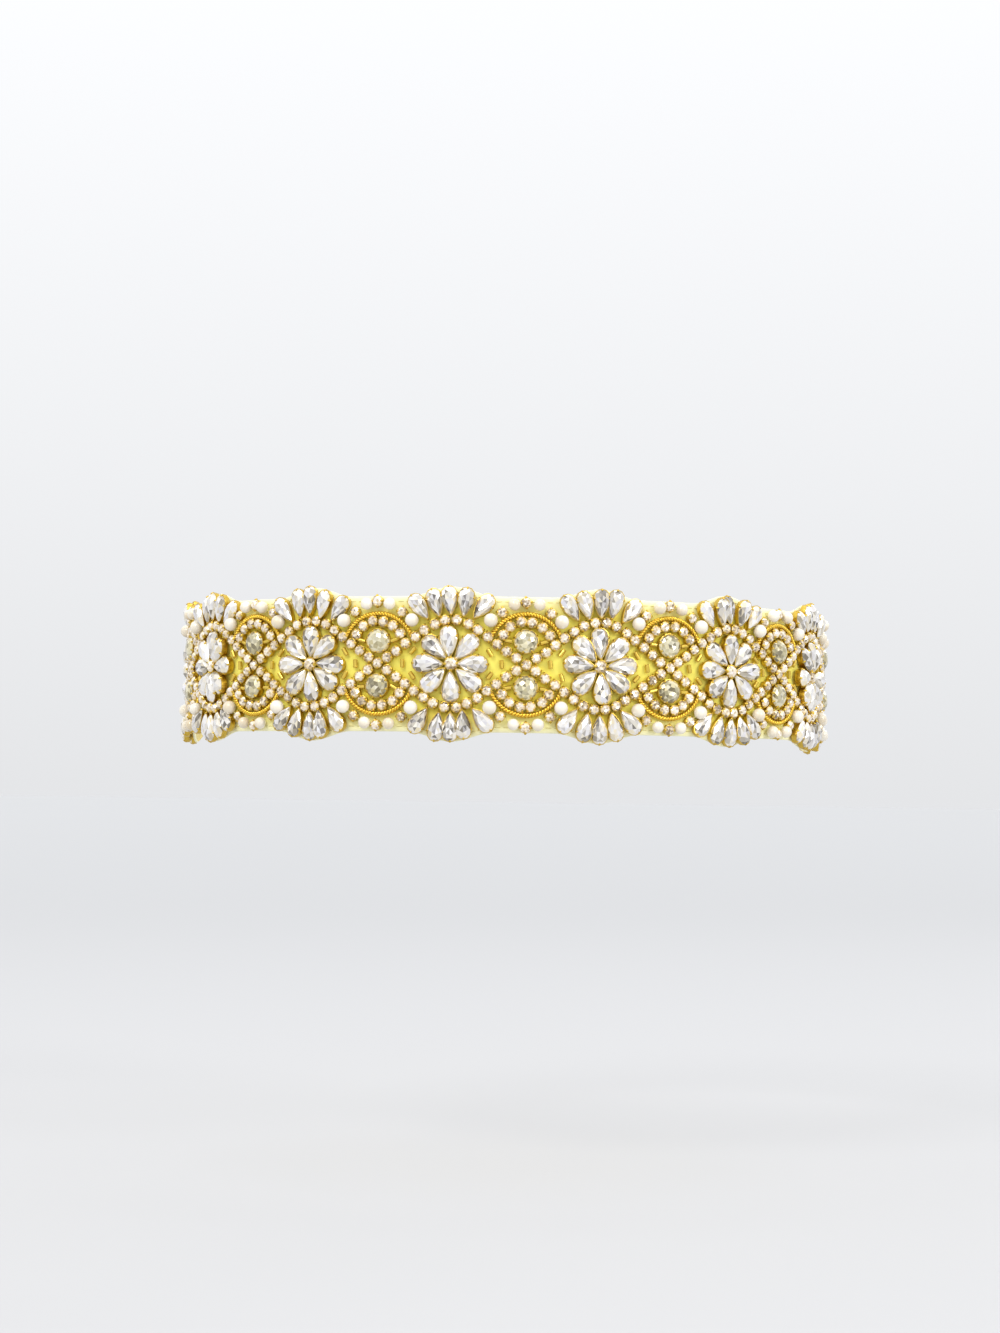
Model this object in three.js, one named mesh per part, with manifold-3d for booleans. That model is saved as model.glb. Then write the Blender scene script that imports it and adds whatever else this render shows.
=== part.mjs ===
// A beaded bridal sash as it is worn: an oval band, open inside, of yellow cloth.
// A long front panel with scalloped edges carries the beadwork, and two plain ribbons
// run from behind its ends round the back, where one laps over the other.
// Millimetres, +Z up. The wearer's front is at -Y, and the origin is the middle of the waist.

import * as THREE from "three";
import { mergeVertices } from "three/addons/utils/BufferGeometryUtils.js";
import Module from "manifold-3d";

const wasm = await Module();
wasm.setup();

// Driving dimensions. "along" runs round the waist from the middle of the front, towards +X.
// "up" is the height over the middle of the band, and "out" the distance from the panel's outer face.
const waist = { halfWidth: 129, halfDepth: 108 };
const pitch = 56;
const flowerCount = 8;
const seamGap = 0.3;

const panel = { thickness: 1.4, halfHeight: 25.5, sectionStep: 4.7 };
const scallop = { rise: 3.6, halfLength: 17 };
const panelEnd = { taperStart: 8, length: 36.5, height: 27, power: 1.2, bluntHeight: 2.6 };

const ribbon = { thickness: 1, halfHeight: 19, underlap: 22, sectionStep: 6.5 };
const lap = { overlap: 40, rampLength: 14, rampLead: 3 };

// The cut stones: the size of each outline, and rows that tell how large it is at each distance out.
const petalCut = {
  length: 12.7,
  width: 7,
  sides: 7,
  levels: [
    { out: seamGap, scale: 0.94 },
    { out: 2.3, scale: 1 },
    { out: 4.6, scale: 0.52 },
  ],
};
const fanCut = {
  length: 11.2,
  width: 6.6,
  sides: 7,
  levels: [
    { out: seamGap, scale: 1 },
    { out: 4.3, scale: 0.58 },
  ],
};
const eyeCut = {
  radius: 4.6,
  sides: 9,
  levels: [
    { out: seamGap, scale: 0.9 },
    { out: 2.3, scale: 1 },
    { out: 4.4, scale: 0.55 },
  ],
};
const hubCut = {
  radius: 2.6,
  sides: 8,
  levels: [
    { out: seamGap, scale: 1 },
    { out: 4.2, scale: 0.7 },
  ],
};

const petalCount = 8;
const petalTipRadius = 1.6;

// Half of a fan's stones, from its middle outwards: where each tip is, seen from the
// flower's middle, and how far the stone leans from upright, in degrees.
const fanStones = [
  { across: 0, up: 18.2, lean: 0 },
  { across: 4.4, up: 17.5, lean: 13 },
  { across: 8.7, up: 16.5, lean: 36 },
];
const fanBar = {
  radius: 24.4,
  middleUp: 0,
  halfAngle: 30,
  steps: 4,
  halfWidth: 1.5,
  topHalfWidth: 0,
  topOut: 1.6,
};

// Half of the garland over an eye, from its middle outwards, seen from the chains' crossing.
const garlandBeads = [
  { across: 0, up: 23.3, radius: 2.2, kind: "chaton" },
  { across: 4.7, up: 22.5, radius: 2.3, kind: "pearl" },
  { across: 9.3, up: 19.6, radius: 2.1, kind: "chaton" },
  { across: 13.3, up: 16.3, radius: 2.6, kind: "pearl" },
];

// Half of the beads round the panel's pointed end, from the tip back, seen from the last flower.
const endBeads = [
  { across: 32.6, up: 0, radius: 2.6, kind: "pearl" },
  { across: 28.6, up: 5.4, radius: 2.1, kind: "chaton" },
  { across: 24.1, up: 9.6, radius: 2.3, kind: "pearl" },
  { across: 19.5, up: 13.4, radius: 2.1, kind: "chaton" },
  { across: 14.7, up: 16.3, radius: 2.6, kind: "pearl" },
];

// The cross-section of a string of beads at its foot, its widest line and its top, each as a
// share of the bead's radius, and the thread between the beads, in millimetres.
const beadProfile = {
  pearl: [{ out: 0, half: 0.6 }, { out: 1, half: 1 }, { out: 1.85, half: 0.5 }],
  chaton: [{ out: 0, half: 0.9 }, { out: 0.75, half: 1 }, { out: 1.35, half: 0.55 }],
};
const threadProfile = [{ out: 0, half: 0.6 }, { out: 0.5, half: 0.6 }, { out: 1, half: 0.4 }];
const beadFlank = 0.45;

const eyeHeight = 8.6;

// The two stone chains swing over and under the flowers and cross between them. An arc of the
// same chain and a gold cord stand over and under each crossing.
const chain = { halfWidth: 1.6, topHalfWidth: 1.2, topOut: 2.6 };
const chainWave = { swing: 15.2, sharpness: 1.2, stepsPerPitch: 8 };
const chainArc = { radius: 10.2, middleUp: 5.8, halfAngle: 80, steps: 5 };
const cord = { halfWidth: 0.8, topHalfWidth: 0, topOut: 1.9 };
const cordArc = { radius: 14, middleUp: 5, halfAngle: 71, steps: 6 };

// Colours and finishes.
const clothFinish = new THREE.MeshStandardMaterial({ color: 0xe6d25a, roughness: 0.55, metalness: 0 });
const ribbonFinish = new THREE.MeshStandardMaterial({ color: 0xe8d766, roughness: 0.4, metalness: 0 });
const crystalFinish = new THREE.MeshStandardMaterial({ color: 0xe9e9ec, roughness: 0.08, metalness: 0.4 });
const pearlFinish = new THREE.MeshStandardMaterial({ color: 0xf6f0ea, roughness: 0.25, metalness: 0 });
const goldFinish = new THREE.MeshStandardMaterial({ color: 0xd9a93a, roughness: 0.3, metalness: 0.9 });

const waistCurve = new THREE.EllipseCurve(
  0, 0, waist.halfWidth, waist.halfDepth, -Math.PI / 2, 1.5 * Math.PI,
);
waistCurve.arcLengthDivisions = 2000;
const waistLength = waistCurve.getLength();
const flowerReach = ((flowerCount - 1) / 2) * pitch;
const radians = THREE.MathUtils.degToRad;

// The point of the worn sash for a point of the flat pattern.
function wrap({ along, up, out }) {
  const share = THREE.MathUtils.euclideanModulo(along / waistLength, 1);
  const foot = waistCurve.getPointAt(share);
  const outward = new THREE.Vector2(foot.x / waist.halfWidth ** 2, foot.y / waist.halfDepth ** 2);
  foot.addScaledVector(outward.normalize(), out);
  return new THREE.Vector3(foot.x, foot.y, up);
}

// A closed solid through rings of points of the flat pattern, each ring seen anticlockwise
// from the end of the stack.
function stackRings(rings) {
  const sides = rings[0].length;
  const positions = rings.flat().flatMap(({ along, up, out }) => [along, up, out]);
  const index = [];
  for (let level = 0; level + 1 < rings.length; level++) {
    for (let side = 0; side < sides; side++) {
      const here = level * sides + side;
      const next = level * sides + ((side + 1) % sides);
      index.push(here, next, next + sides, here, next + sides, here + sides);
    }
  }
  const last = (rings.length - 1) * sides;
  for (let side = 1; side + 1 < sides; side++) {
    index.push(0, side + 1, side);
    index.push(last, last + side, last + side + 1);
  }
  const geometry = new THREE.BufferGeometry();
  geometry.setAttribute("position", new THREE.Float32BufferAttribute(positions, 3));
  geometry.setIndex(index);
  return geometry;
}

// Joins closed solids of the flat pattern into one.
function join(geometries) {
  const solids = geometries.map((geometry) => {
    const merged = mergeVertices(geometry);
    return new wasm.Manifold(
      new wasm.Mesh({
        numProp: 3,
        vertProperties: merged.attributes.position.array,
        triVerts: new Uint32Array(merged.index.array),
      }),
    );
  });
  const mesh = solids.reduce((whole, solid) => whole.add(solid)).getMesh();
  const geometry = new THREE.BufferGeometry();
  geometry.setAttribute("position", new THREE.BufferAttribute(mesh.vertProperties, 3));
  geometry.setIndex(new THREE.BufferAttribute(mesh.triVerts, 1));
  return geometry;
}

// A named mesh of a flat solid, laid round the waist with its own zero at "along".
function worn(name, flatGeometry, finish, along = 0) {
  const geometry = flatGeometry.clone();
  const position = geometry.attributes.position;
  for (let i = 0; i < position.count; i++) {
    const point = wrap({ along: along + position.getX(i), up: position.getY(i), out: position.getZ(i) });
    position.setXYZ(i, point.x, point.y, point.z);
  }
  geometry.computeVertexNormals();
  const mesh = new THREE.Mesh(geometry, finish);
  mesh.name = name;
  return mesh;
}

// A strip of four-cornered sections, such as a cloth wall: each row gives its place and its corners.
function strip(sections) {
  return stackRings(
    sections.map(({ along, low, high, inner, outer }) => [
      { along, up: low, out: inner },
      { along, up: high, out: inner },
      { along, up: high, out: outer },
      { along, up: low, out: outer },
    ]),
  );
}

// A low ridge that lies on the panel along a flat path of points with their own headings.
function ridge(path, { halfWidth, topHalfWidth, topOut }) {
  return stackRings(
    path.map(({ along, up, heading }) => {
      const across = (offset, out) => ({
        along: along - Math.sin(heading) * offset,
        up: up + Math.cos(heading) * offset,
        out,
      });
      const foot = [across(-halfWidth, seamGap), across(halfWidth, seamGap)];
      if (topHalfWidth === 0) return [...foot, across(0, topOut)];
      return [...foot, across(topHalfWidth, topOut), across(-topHalfWidth, topOut)];
    }),
  );
}

// The points of a circle's arc over the middle, from left to right or, below, mirrored.
function arcPath({ radius, middleUp, halfAngle, steps }, side) {
  return Array.from({ length: steps + 1 }, (_, step) => {
    const angle = radians(halfAngle) * ((2 * step) / steps - 1);
    return {
      along: radius * Math.sin(angle),
      up: side * (middleUp + radius * Math.cos(angle)),
      heading: -side * angle,
    };
  });
}

// A drop-shaped outline with its point at the origin and its round end along +along.
function dropOutline({ length, width, sides }) {
  const widestSine = 0.77;
  return Array.from({ length: sides }, (_, side) => {
    const turn = (2 * Math.PI * side) / sides;
    return {
      along: (length / 2) * (1 - Math.cos(turn)),
      up: (-width / 2 / widestSine) * Math.sin(turn) * Math.abs(Math.sin(turn / 2)),
    };
  });
}

function roundOutline({ radius, sides }) {
  return Array.from({ length: sides }, (_, side) => {
    const turn = (2 * Math.PI * (side + 0.5)) / sides;
    return { along: radius * Math.cos(turn), up: radius * Math.sin(turn) };
  });
}

// A cut stone: rings of one outline, shrunk towards its heart, turned and moved into place.
function stone(outline, levels, heart, { along, up, turn = 0 }) {
  const cos = Math.cos(turn);
  const sin = Math.sin(turn);
  return stackRings(
    levels.map(({ out, scale }) =>
      outline.map((point) => {
        const x = heart + (point.along - heart) * scale;
        const y = point.up * scale;
        return { along: along + x * cos - y * sin, up: up + x * sin + y * cos, out };
      }),
    ),
  );
}

function dropStone(cut, place) {
  const heartShare = 0.6;
  return stone(dropOutline(cut), cut.levels, cut.length * heartShare, place);
}

function roundStone(cut, place) {
  return stone(roundOutline(cut), cut.levels, 0, place);
}

// The panel's half height at a place along it: straight, with a scallop at each flower's fans
// and a pointed end past the last flower.
function panelHalfHeight(along) {
  const position = along / pitch + (flowerCount - 1) / 2;
  const nearest = THREE.MathUtils.clamp(Math.round(position), 0, flowerCount - 1);
  const fromFlower = (position - nearest) * pitch;
  const bulge = Math.abs(fromFlower) < scallop.halfLength
    ? scallop.rise * Math.cos(((Math.PI / 2) * fromFlower) / scallop.halfLength) ** 2
    : 0;
  const height = panel.halfHeight + bulge;
  const intoTaper = Math.abs(along) - flowerReach - panelEnd.taperStart;
  if (intoTaper <= 0) return height;
  const quarter = (Math.PI / 2) * Math.min(1, intoTaper / (panelEnd.length - panelEnd.taperStart));
  const tapered = panelEnd.height * Math.max(0, Math.cos(quarter)) ** panelEnd.power;
  return Math.min(height, Math.max(tapered, panelEnd.bluntHeight));
}

function frontPanel() {
  const reach = flowerReach + panelEnd.length;
  const count = Math.round((2 * reach) / panel.sectionStep);
  const sections = Array.from({ length: count + 1 }, (_, i) => {
    const along = reach * ((2 * i) / count - 1);
    const halfHeight = panelHalfHeight(along);
    return { along, low: -halfHeight, high: halfHeight, inner: -panel.thickness, outer: 0 };
  });
  return worn("front_panel", strip(sections), clothFinish);
}

// One ribbon, from behind the panel's end to past the middle of the back. The one that lies
// on top rises over the other's end.
function backRibbon(name, side, liesOnTop) {
  const start = flowerReach + panelEnd.length - ribbon.underlap;
  const end = waistLength / 2 + lap.overlap / 2;
  const rampEnd = waistLength / 2 - lap.overlap / 2 - lap.rampLead;
  const under = -panel.thickness - seamGap;
  const count = Math.round((end - start) / ribbon.sectionStep);
  const sections = Array.from({ length: count + 1 }, (_, i) => {
    const reach = start + ((end - start) * i) / count;
    const rise = THREE.MathUtils.smoothstep(reach, rampEnd - lap.rampLength, rampEnd);
    const lift = liesOnTop ? rise * (ribbon.thickness + seamGap) : 0;
    return {
      along: side * reach,
      low: -ribbon.halfHeight,
      high: ribbon.halfHeight,
      inner: under - ribbon.thickness + lift,
      outer: under + lift,
    };
  });
  if (side < 0) sections.reverse();
  return worn(name, strip(sections), ribbonFinish);
}

// Eight drop stones round a chaton, points inwards.
function flowerSolid() {
  const petals = Array.from({ length: petalCount }, (_, i) => {
    const turn = (2 * Math.PI * i) / petalCount;
    const place = { along: petalTipRadius * Math.cos(turn), up: petalTipRadius * Math.sin(turn), turn };
    return dropStone(petalCut, place);
  });
  return join([roundStone(hubCut, { along: 0, up: 0 }), ...petals]);
}

// Each row of a half pattern, and its mirror image past the middle.
function bothSides(rows, isMiddle) {
  const mirrors = (row) => (isMiddle(row) ? [1] : [1, -1]);
  return rows.flatMap((row) => mirrors(row).map((mirror) => ({ ...row, mirror })));
}

// Five drop stones spread over a flower (side 1) or under it (side -1), held by a low bar.
function fanSolid(side) {
  const stones = bothSides(fanStones, (row) => row.across === 0).map(({ across, up, lean, mirror }) => {
    const turn = side * (Math.PI / 2 - mirror * radians(lean));
    return dropStone(fanCut, { along: mirror * across, up: side * up, turn });
  });
  return join([ridge(arcPath(fanBar, side), fanBar), ...stones]);
}

// Pearls and chatons on one thread: a strip that swells at each bead and narrows between them.
function beadString(beads) {
  const gapHeading = (i) => Math.atan2(beads[i + 1].up - beads[i].up, beads[i + 1].along - beads[i].along);
  const section = (from, heading, shift, profile, size) => {
    const corner = ({ out, half }, edge) => ({
      along: from.along + Math.cos(heading) * shift - Math.sin(heading) * edge * half * size,
      up: from.up + Math.sin(heading) * shift + Math.cos(heading) * edge * half * size,
      out: seamGap + out * size,
    });
    const [foot, widest, top] = profile;
    return [
      corner(foot, -1), corner(foot, 1), corner(widest, 1),
      corner(top, 1), corner(top, -1), corner(widest, -1),
    ];
  };
  const rings = beads.flatMap((bead, i) => {
    const before = gapHeading(Math.max(0, i - 1));
    const after = gapHeading(Math.min(beads.length - 2, i));
    const middle = (before + after) / 2;
    const flank = beadFlank * bead.radius;
    const next = beads[i + 1];
    const neck = next
      ? (Math.hypot(next.along - bead.along, next.up - bead.up) + bead.radius - next.radius) / 2
      : bead.radius;
    return [
      ...(i === 0 ? [section(bead, before, -bead.radius, threadProfile, 1)] : []),
      section(bead, middle, -flank, beadProfile[bead.kind], bead.radius),
      section(bead, middle, flank, beadProfile[bead.kind], bead.radius),
      section(bead, after, neck, threadProfile, 1),
    ];
  });
  return stackRings(rings);
}

function garlandSolid(side) {
  const rows = bothSides(garlandBeads, (row) => row.across === 0)
    .map((row) => ({ ...row, along: row.mirror * row.across, up: side * row.up }))
    .sort((a, b) => a.along - b.along);
  return beadString(rows);
}

function endBeadSolid(side) {
  const rows = bothSides(endBeads, (row) => row.up === 0)
    .map((row) => ({ ...row, along: side * row.across, up: row.mirror * row.up }))
    .sort((a, b) => side * (b.up - a.up));
  return beadString(rows);
}

// The points of the upper chain (side 1), with their headings, or of the lower one, its mirror image.
function chainPath(side) {
  const reach = flowerReach + pitch / 2;
  const count = flowerCount * chainWave.stepsPerPitch;
  const wave = Math.PI / pitch;
  return Array.from({ length: count + 1 }, (_, i) => {
    const along = reach * ((2 * i) / count - 1);
    const phase = wave * (along + flowerReach);
    const up = chainWave.swing * Math.cos(phase) + chainWave.sharpness * Math.cos(3 * phase);
    const slope = -wave * (chainWave.swing * Math.sin(phase) + 3 * chainWave.sharpness * Math.sin(3 * phase));
    return { along, up: side * up, heading: Math.atan(side * slope) };
  });
}

function shifted(path, along) {
  return path.map((point) => ({ ...point, along: point.along + along }));
}

// The crossing chains with the arcs and cords that stand on them.
function scrollSolid() {
  const chains = [1, -1].map((side) => ridge(chainPath(side), chain));
  const arcs = crossings().flatMap((along) =>
    [1, -1].flatMap((side) => [
      ridge(shifted(arcPath(chainArc, side), along), chain),
      ridge(shifted(arcPath(cordArc, side), along), cord),
    ]),
  );
  return join([...chains, ...arcs]);
}

function flowers() {
  return Array.from({ length: flowerCount }, (_, i) => i * pitch - flowerReach);
}

function crossings() {
  return flowers().slice(1).map((along) => along - pitch / 2);
}

const sash = new THREE.Group();
sash.add(frontPanel());
sash.add(backRibbon("back_ribbon_left", -1, true));
sash.add(backRibbon("back_ribbon_right", 1, false));
sash.add(worn("chain_scroll", scrollSolid(), goldFinish));

const flower = flowerSolid();
flowers().forEach((along, i) => sash.add(worn(`flower_${i + 1}`, flower, crystalFinish, along)));

for (const [place, side] of [["top", 1], ["bottom", -1]]) {
  const fan = fanSolid(side);
  const garland = garlandSolid(side);
  const eye = roundStone(eyeCut, { along: 0, up: side * eyeHeight });
  flowers().forEach((along, i) => sash.add(worn(`fan_${place}_${i + 1}`, fan, crystalFinish, along)));
  crossings().forEach((along, i) => {
    sash.add(worn(`garland_${place}_${i + 1}`, garland, pearlFinish, along));
    sash.add(worn(`eye_stone_${place}_${i + 1}`, eye, crystalFinish, along));
  });
}

sash.add(worn("end_beads_left", endBeadSolid(-1), pearlFinish, -flowerReach));
sash.add(worn("end_beads_right", endBeadSolid(1), pearlFinish, flowerReach));

export default sash;
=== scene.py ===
"""The looks of a worn bridal sash: yellow cloth with set stones, pearls and gold cord.

The flat pattern is in millimetres: "along" runs round the waist from the middle of the front,
"up" is the height over the middle of the band, and "out" the distance from the cloth's outer face.
Finished meshes are in metres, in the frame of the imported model.
"""

from __future__ import annotations

import logging
import math
from collections.abc import Iterable, Mapping, Sequence
from dataclasses import dataclass, field
from enum import Enum
from functools import cached_property
from itertools import product

import bmesh
import bpy
import numpy as np
from mathutils import Matrix, Vector, noise

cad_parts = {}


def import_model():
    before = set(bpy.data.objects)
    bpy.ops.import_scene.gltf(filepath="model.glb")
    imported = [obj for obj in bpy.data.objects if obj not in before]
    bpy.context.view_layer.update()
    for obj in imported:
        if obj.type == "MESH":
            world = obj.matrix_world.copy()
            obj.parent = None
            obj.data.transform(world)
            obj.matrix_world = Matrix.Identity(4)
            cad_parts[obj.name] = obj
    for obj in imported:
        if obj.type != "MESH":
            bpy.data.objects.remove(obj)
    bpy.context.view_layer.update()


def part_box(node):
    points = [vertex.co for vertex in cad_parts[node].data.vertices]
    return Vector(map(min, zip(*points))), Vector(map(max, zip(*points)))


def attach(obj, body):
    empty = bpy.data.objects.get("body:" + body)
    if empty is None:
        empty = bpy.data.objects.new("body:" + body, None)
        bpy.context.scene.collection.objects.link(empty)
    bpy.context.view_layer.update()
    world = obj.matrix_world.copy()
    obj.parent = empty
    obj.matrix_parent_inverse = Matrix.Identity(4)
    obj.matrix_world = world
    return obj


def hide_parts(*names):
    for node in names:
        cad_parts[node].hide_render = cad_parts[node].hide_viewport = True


LOG = logging.getLogger("bridal_sash")
MM = 0.001
BODY = "root"
Colour = tuple[float, float, float]

# The gap that sewn-on pieces keep from the cloth's face, in millimetres.
CLOTH_GAP = 0.3
# Metal edges under this angle are shaded smooth, in degrees.
SHARP_ANGLE = 40.0
# The turn that sets a chaton's four claws upright and level.
CHATON_TURN = math.pi / 4
# The right and the left half of what is the same on both.
HALVES = (1, -1)


class Slot(Enum):
    """Material slots."""

    CLOTH = "cloth"
    RIBBON = "ribbon"
    CRYSTAL = "crystal"
    PEARL = "pearl"
    GOLD = "gold"


class Side(Enum):
    """The upper and the lower half of the band."""

    TOP = 1
    BOTTOM = -1

    @property
    def word(self) -> str:
        """The side as the frame's nodes name it."""
        return self.name.lower()


# Shader maths


@dataclass(frozen=True)
class Value:
    """A shader socket that takes part in sums like a number."""

    shader: Shader
    socket: bpy.types.NodeSocket

    def __add__(self, other: Value | float) -> Value:
        """The sum of two values."""
        return self.shader.math("ADD", self, other)

    def __sub__(self, other: Value | float) -> Value:
        """This value less another."""
        return self.shader.math("SUBTRACT", self, other)

    def __rsub__(self, other: float) -> Value:
        """A number less this value."""
        return self.shader.math("SUBTRACT", other, self)

    def __mul__(self, other: Value | float) -> Value:
        """The product of two values."""
        return self.shader.math("MULTIPLY", self, other)

    def __truediv__(self, other: Value | float) -> Value:
        """This value divided by another."""
        return self.shader.math("DIVIDE", self, other)

    __radd__ = __add__
    __rmul__ = __mul__


class Shader:
    """A material or a sky, and the nodes that make it up."""

    def __init__(self, owner: bpy.types.Material | bpy.types.World) -> None:
        """Starts with no nodes.

        Args:
            owner: The material or the sky.
        """
        self.owner = owner
        owner.use_nodes = True
        self.tree = owner.node_tree
        self.tree.nodes.clear()

    @classmethod
    def paint(cls, name: str) -> Shader:
        """Starts a new material."""
        return cls(bpy.data.materials.new(name))

    def node(
        self,
        kind: str,
        settings: Mapping[str, object] | None = None,
        inputs: Mapping[str | int, object] | None = None,
        output: str | int | None = 0,
    ) -> Value | None:
        """Adds any node.

        Args:
            kind: The node's type.
            settings: Its properties; "stops" gives a colour ramp's places and colours.
            inputs: Values or links of its sockets, by name or number.
            output: The socket that is handed on, or None where there isn't one.

        Returns:
            The chosen output.
        """
        node = self.tree.nodes.new(kind)
        for key, setting in (settings or {}).items():
            if key == "stops":
                self._set_stops(node.color_ramp, setting)
            else:
                setattr(node, key, setting)
        for key, given in (inputs or {}).items():
            if isinstance(given, Value):
                self.tree.links.new(given.socket, node.inputs[key])
            else:
                node.inputs[key].default_value = given
        return None if output is None else Value(self, node.outputs[output])

    @staticmethod
    def _set_stops(ramp: bpy.types.ColorRamp, stops: Sequence[tuple[float, Colour]]) -> None:
        """Sets a colour ramp's stops.

        Args:
            ramp: The ramp to set.
            stops: The place and the colour of each stop, in order.
        """
        while len(ramp.elements) < len(stops):
            ramp.elements.new(1.0)
        for element, (place, colour) in zip(ramp.elements, stops):
            element.position = place
            element.color = (*colour, 1.0)

    def math(self, operation: str, *terms: Value | float) -> Value:
        """A Math node on one to three terms."""
        return self.node("ShaderNodeMath", {"operation": operation}, dict(enumerate(terms)))

    def mix(
        self, share: Value | float, first: Value | Colour, second: Value | Colour, blend: str = "MIX"
    ) -> Value:
        """A colour made of two others.

        Args:
            share: How much of the second colour there is.
            first: The colour at 0.
            second: The colour at 1.
            blend: The Mix node's way of blending them.

        Returns:
            The mixed colour.
        """
        colours = [c if isinstance(c, Value) else (*c, 1.0) for c in (first, second)]
        # A Mix node's colours are its inputs 6 and 7 and its output 2.
        inputs = {0: share, 6: colours[0], 7: colours[1]}
        settings = {"data_type": "RGBA", "blend_type": blend}
        return self.node("ShaderNodeMix", settings, inputs, output=2)

    def speckle(self, scale: float, detail: float = 2.0, where: Value | None = None) -> Value:
        """Soft noise from 0 to 1.

        Args:
            scale: Blotches to a metre, or to a unit of the given place.
            detail: How fine the noise gets.
            where: The place it is read at, or Object coordinates.

        Returns:
            The noise.
        """
        place = where or self.node("ShaderNodeTexCoord", output="Object")
        return self.node("ShaderNodeTexNoise", {}, {"Vector": place, "Scale": scale, "Detail": detail})

    def attribute(self, name: str) -> Value:
        """A number that the mesh holds."""
        return self.node("ShaderNodeAttribute", {"attribute_name": name}, output="Fac")

    def ramp(self, name: str, *stops: tuple[float, Colour]) -> Value:
        """A colour ramp over a number that the mesh holds."""
        return self.node("ShaderNodeValToRGB", {"stops": stops}, {0: self.attribute(name)})

    def relief(self, height: Value, distance: float, strength: float) -> Value:
        """A bumped normal.

        Args:
            height: The height, from 0 to 1.
            distance: What a height of 1 is, in metres.
            strength: How much of it shows.

        Returns:
            The normal.
        """
        inputs = {"Height": height, "Distance": distance, "Strength": strength}
        return self.node("ShaderNodeBump", {}, inputs)

    def surface(self, **inputs: object) -> bpy.types.Material:
        """Closes the material with a surface.

        Args:
            inputs: Socket values, with underscores for the spaces in the sockets' names.

        Returns:
            The material.
        """
        named = {key.replace("_", " "): given for key, given in inputs.items()}
        surface = self.node("ShaderNodeBsdfPrincipled", {}, named)
        self.node("ShaderNodeOutputMaterial", {}, {"Surface": surface}, output=None)
        return self.owner


# Finishes


@dataclass(frozen=True)
class ClothFinish:
    """Dyed woven cloth, with threads that follow the piece's own cut, and painted shade and a paler edge
    that the mesh holds.
    """

    name: str
    colour: Colour
    shade: Colour
    painted_shade: Colour
    edge: Colour
    thread_along: float
    thread_up: float
    roughness: float
    sheen: float
    weave_depth: float
    blotch_scale: float = 45.0
    blotch_share: float = 0.5
    weave_share: float = 0.2
    edge_share: float = 0.9
    slub_scale: float = 320.0
    slub_roughness: float = 0.2
    slub_height: float = 0.6
    weave_height: float = 0.7
    relief_strength: float = 0.6
    sheen_roughness: float = 0.45

    def material(self) -> bpy.types.Material:
        """Mixes the finish.

        Returns:
            The material.
        """
        shader = Shader.paint(self.name)
        cut = shader.node("ShaderNodeUVMap", {"uv_map": "cut"})
        along, up = (shader.node("ShaderNodeSeparateXYZ", {}, {0: cut}, axis) for axis in "XY")
        warp = shader.math("SINE", along * (2 * math.pi / (self.thread_along * MM)))
        weft = shader.math("SINE", up * (2 * math.pi / (self.thread_up * MM)))
        weave = warp * weft * 0.5 + 0.5
        slub = shader.speckle(self.slub_scale, detail=3.0, where=cut)
        blotch = shader.speckle(self.blotch_scale, where=cut)
        shaded = blotch * self.blotch_share + weave * self.weave_share
        colour = shader.mix(shaded, self.colour, self.shade)
        # Painted shade: where the mesh's painted shade share is high, the cloth darkens to a deeper amber
        # that stands in for shadow and warm bounce light between the raised pieces.
        colour = shader.mix(shader.attribute("painted_shade"), colour, self.painted_shade)
        # Paler towards the edge: on the panel this is a painted highlight along its edge; on the ribbons it
        # is the paler selvedge.
        colour = shader.mix(shader.attribute("edge") * self.edge_share, colour, self.edge)
        height = weave * self.weave_height + slub * self.slub_height
        return shader.surface(
            Base_Color=colour,
            Roughness=slub * self.slub_roughness + (self.roughness - self.slub_roughness / 2),
            Sheen_Weight=self.sheen,
            Sheen_Roughness=self.sheen_roughness,
            Normal=shader.relief(height, self.weave_depth * MM, self.relief_strength),
        )


@dataclass(frozen=True)
class CrystalFinish:
    """Foil-backed cut glass: each facet has its own painted brightness and a painted trace of reflected
    colour.
    """

    name: str
    dark: Colour
    middle: Colour
    bright: Colour
    reflected: Colour
    metallic: float = 0.55
    roughness: float = 0.07
    coat: float = 1.0
    coat_roughness: float = 0.02
    ior: float = 1.58
    middle_at: float = 0.45
    bright_at: float = 0.85
    cool: Colour = (0.88, 0.89, 1.0)
    clear: Colour = (1.0, 1.0, 1.0)
    clear_at: float = 0.35

    def material(self) -> bpy.types.Material:
        """Mixes the finish.

        Returns:
            The material.
        """
        shader = Shader.paint(self.name)
        # Painted highlights and shade: each facet's painted glint picks dark, middle or bright, and the
        # painted fire tints it with cool or warm reflected colour.
        painted_brightness = shader.ramp(
            "painted_glint", (0.0, self.dark), (self.middle_at, self.middle), (self.bright_at, self.bright)
        )
        painted_fire = shader.ramp("painted_fire", (0.0, self.cool), (self.clear_at, self.clear), (1.0, self.reflected))
        return shader.surface(
            Base_Color=shader.mix(1.0, painted_brightness, painted_fire, "MULTIPLY"),
            Metallic=self.metallic,
            Roughness=self.roughness,
            IOR=self.ior,
            Coat_Weight=self.coat,
            Coat_Roughness=self.coat_roughness,
        )


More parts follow.
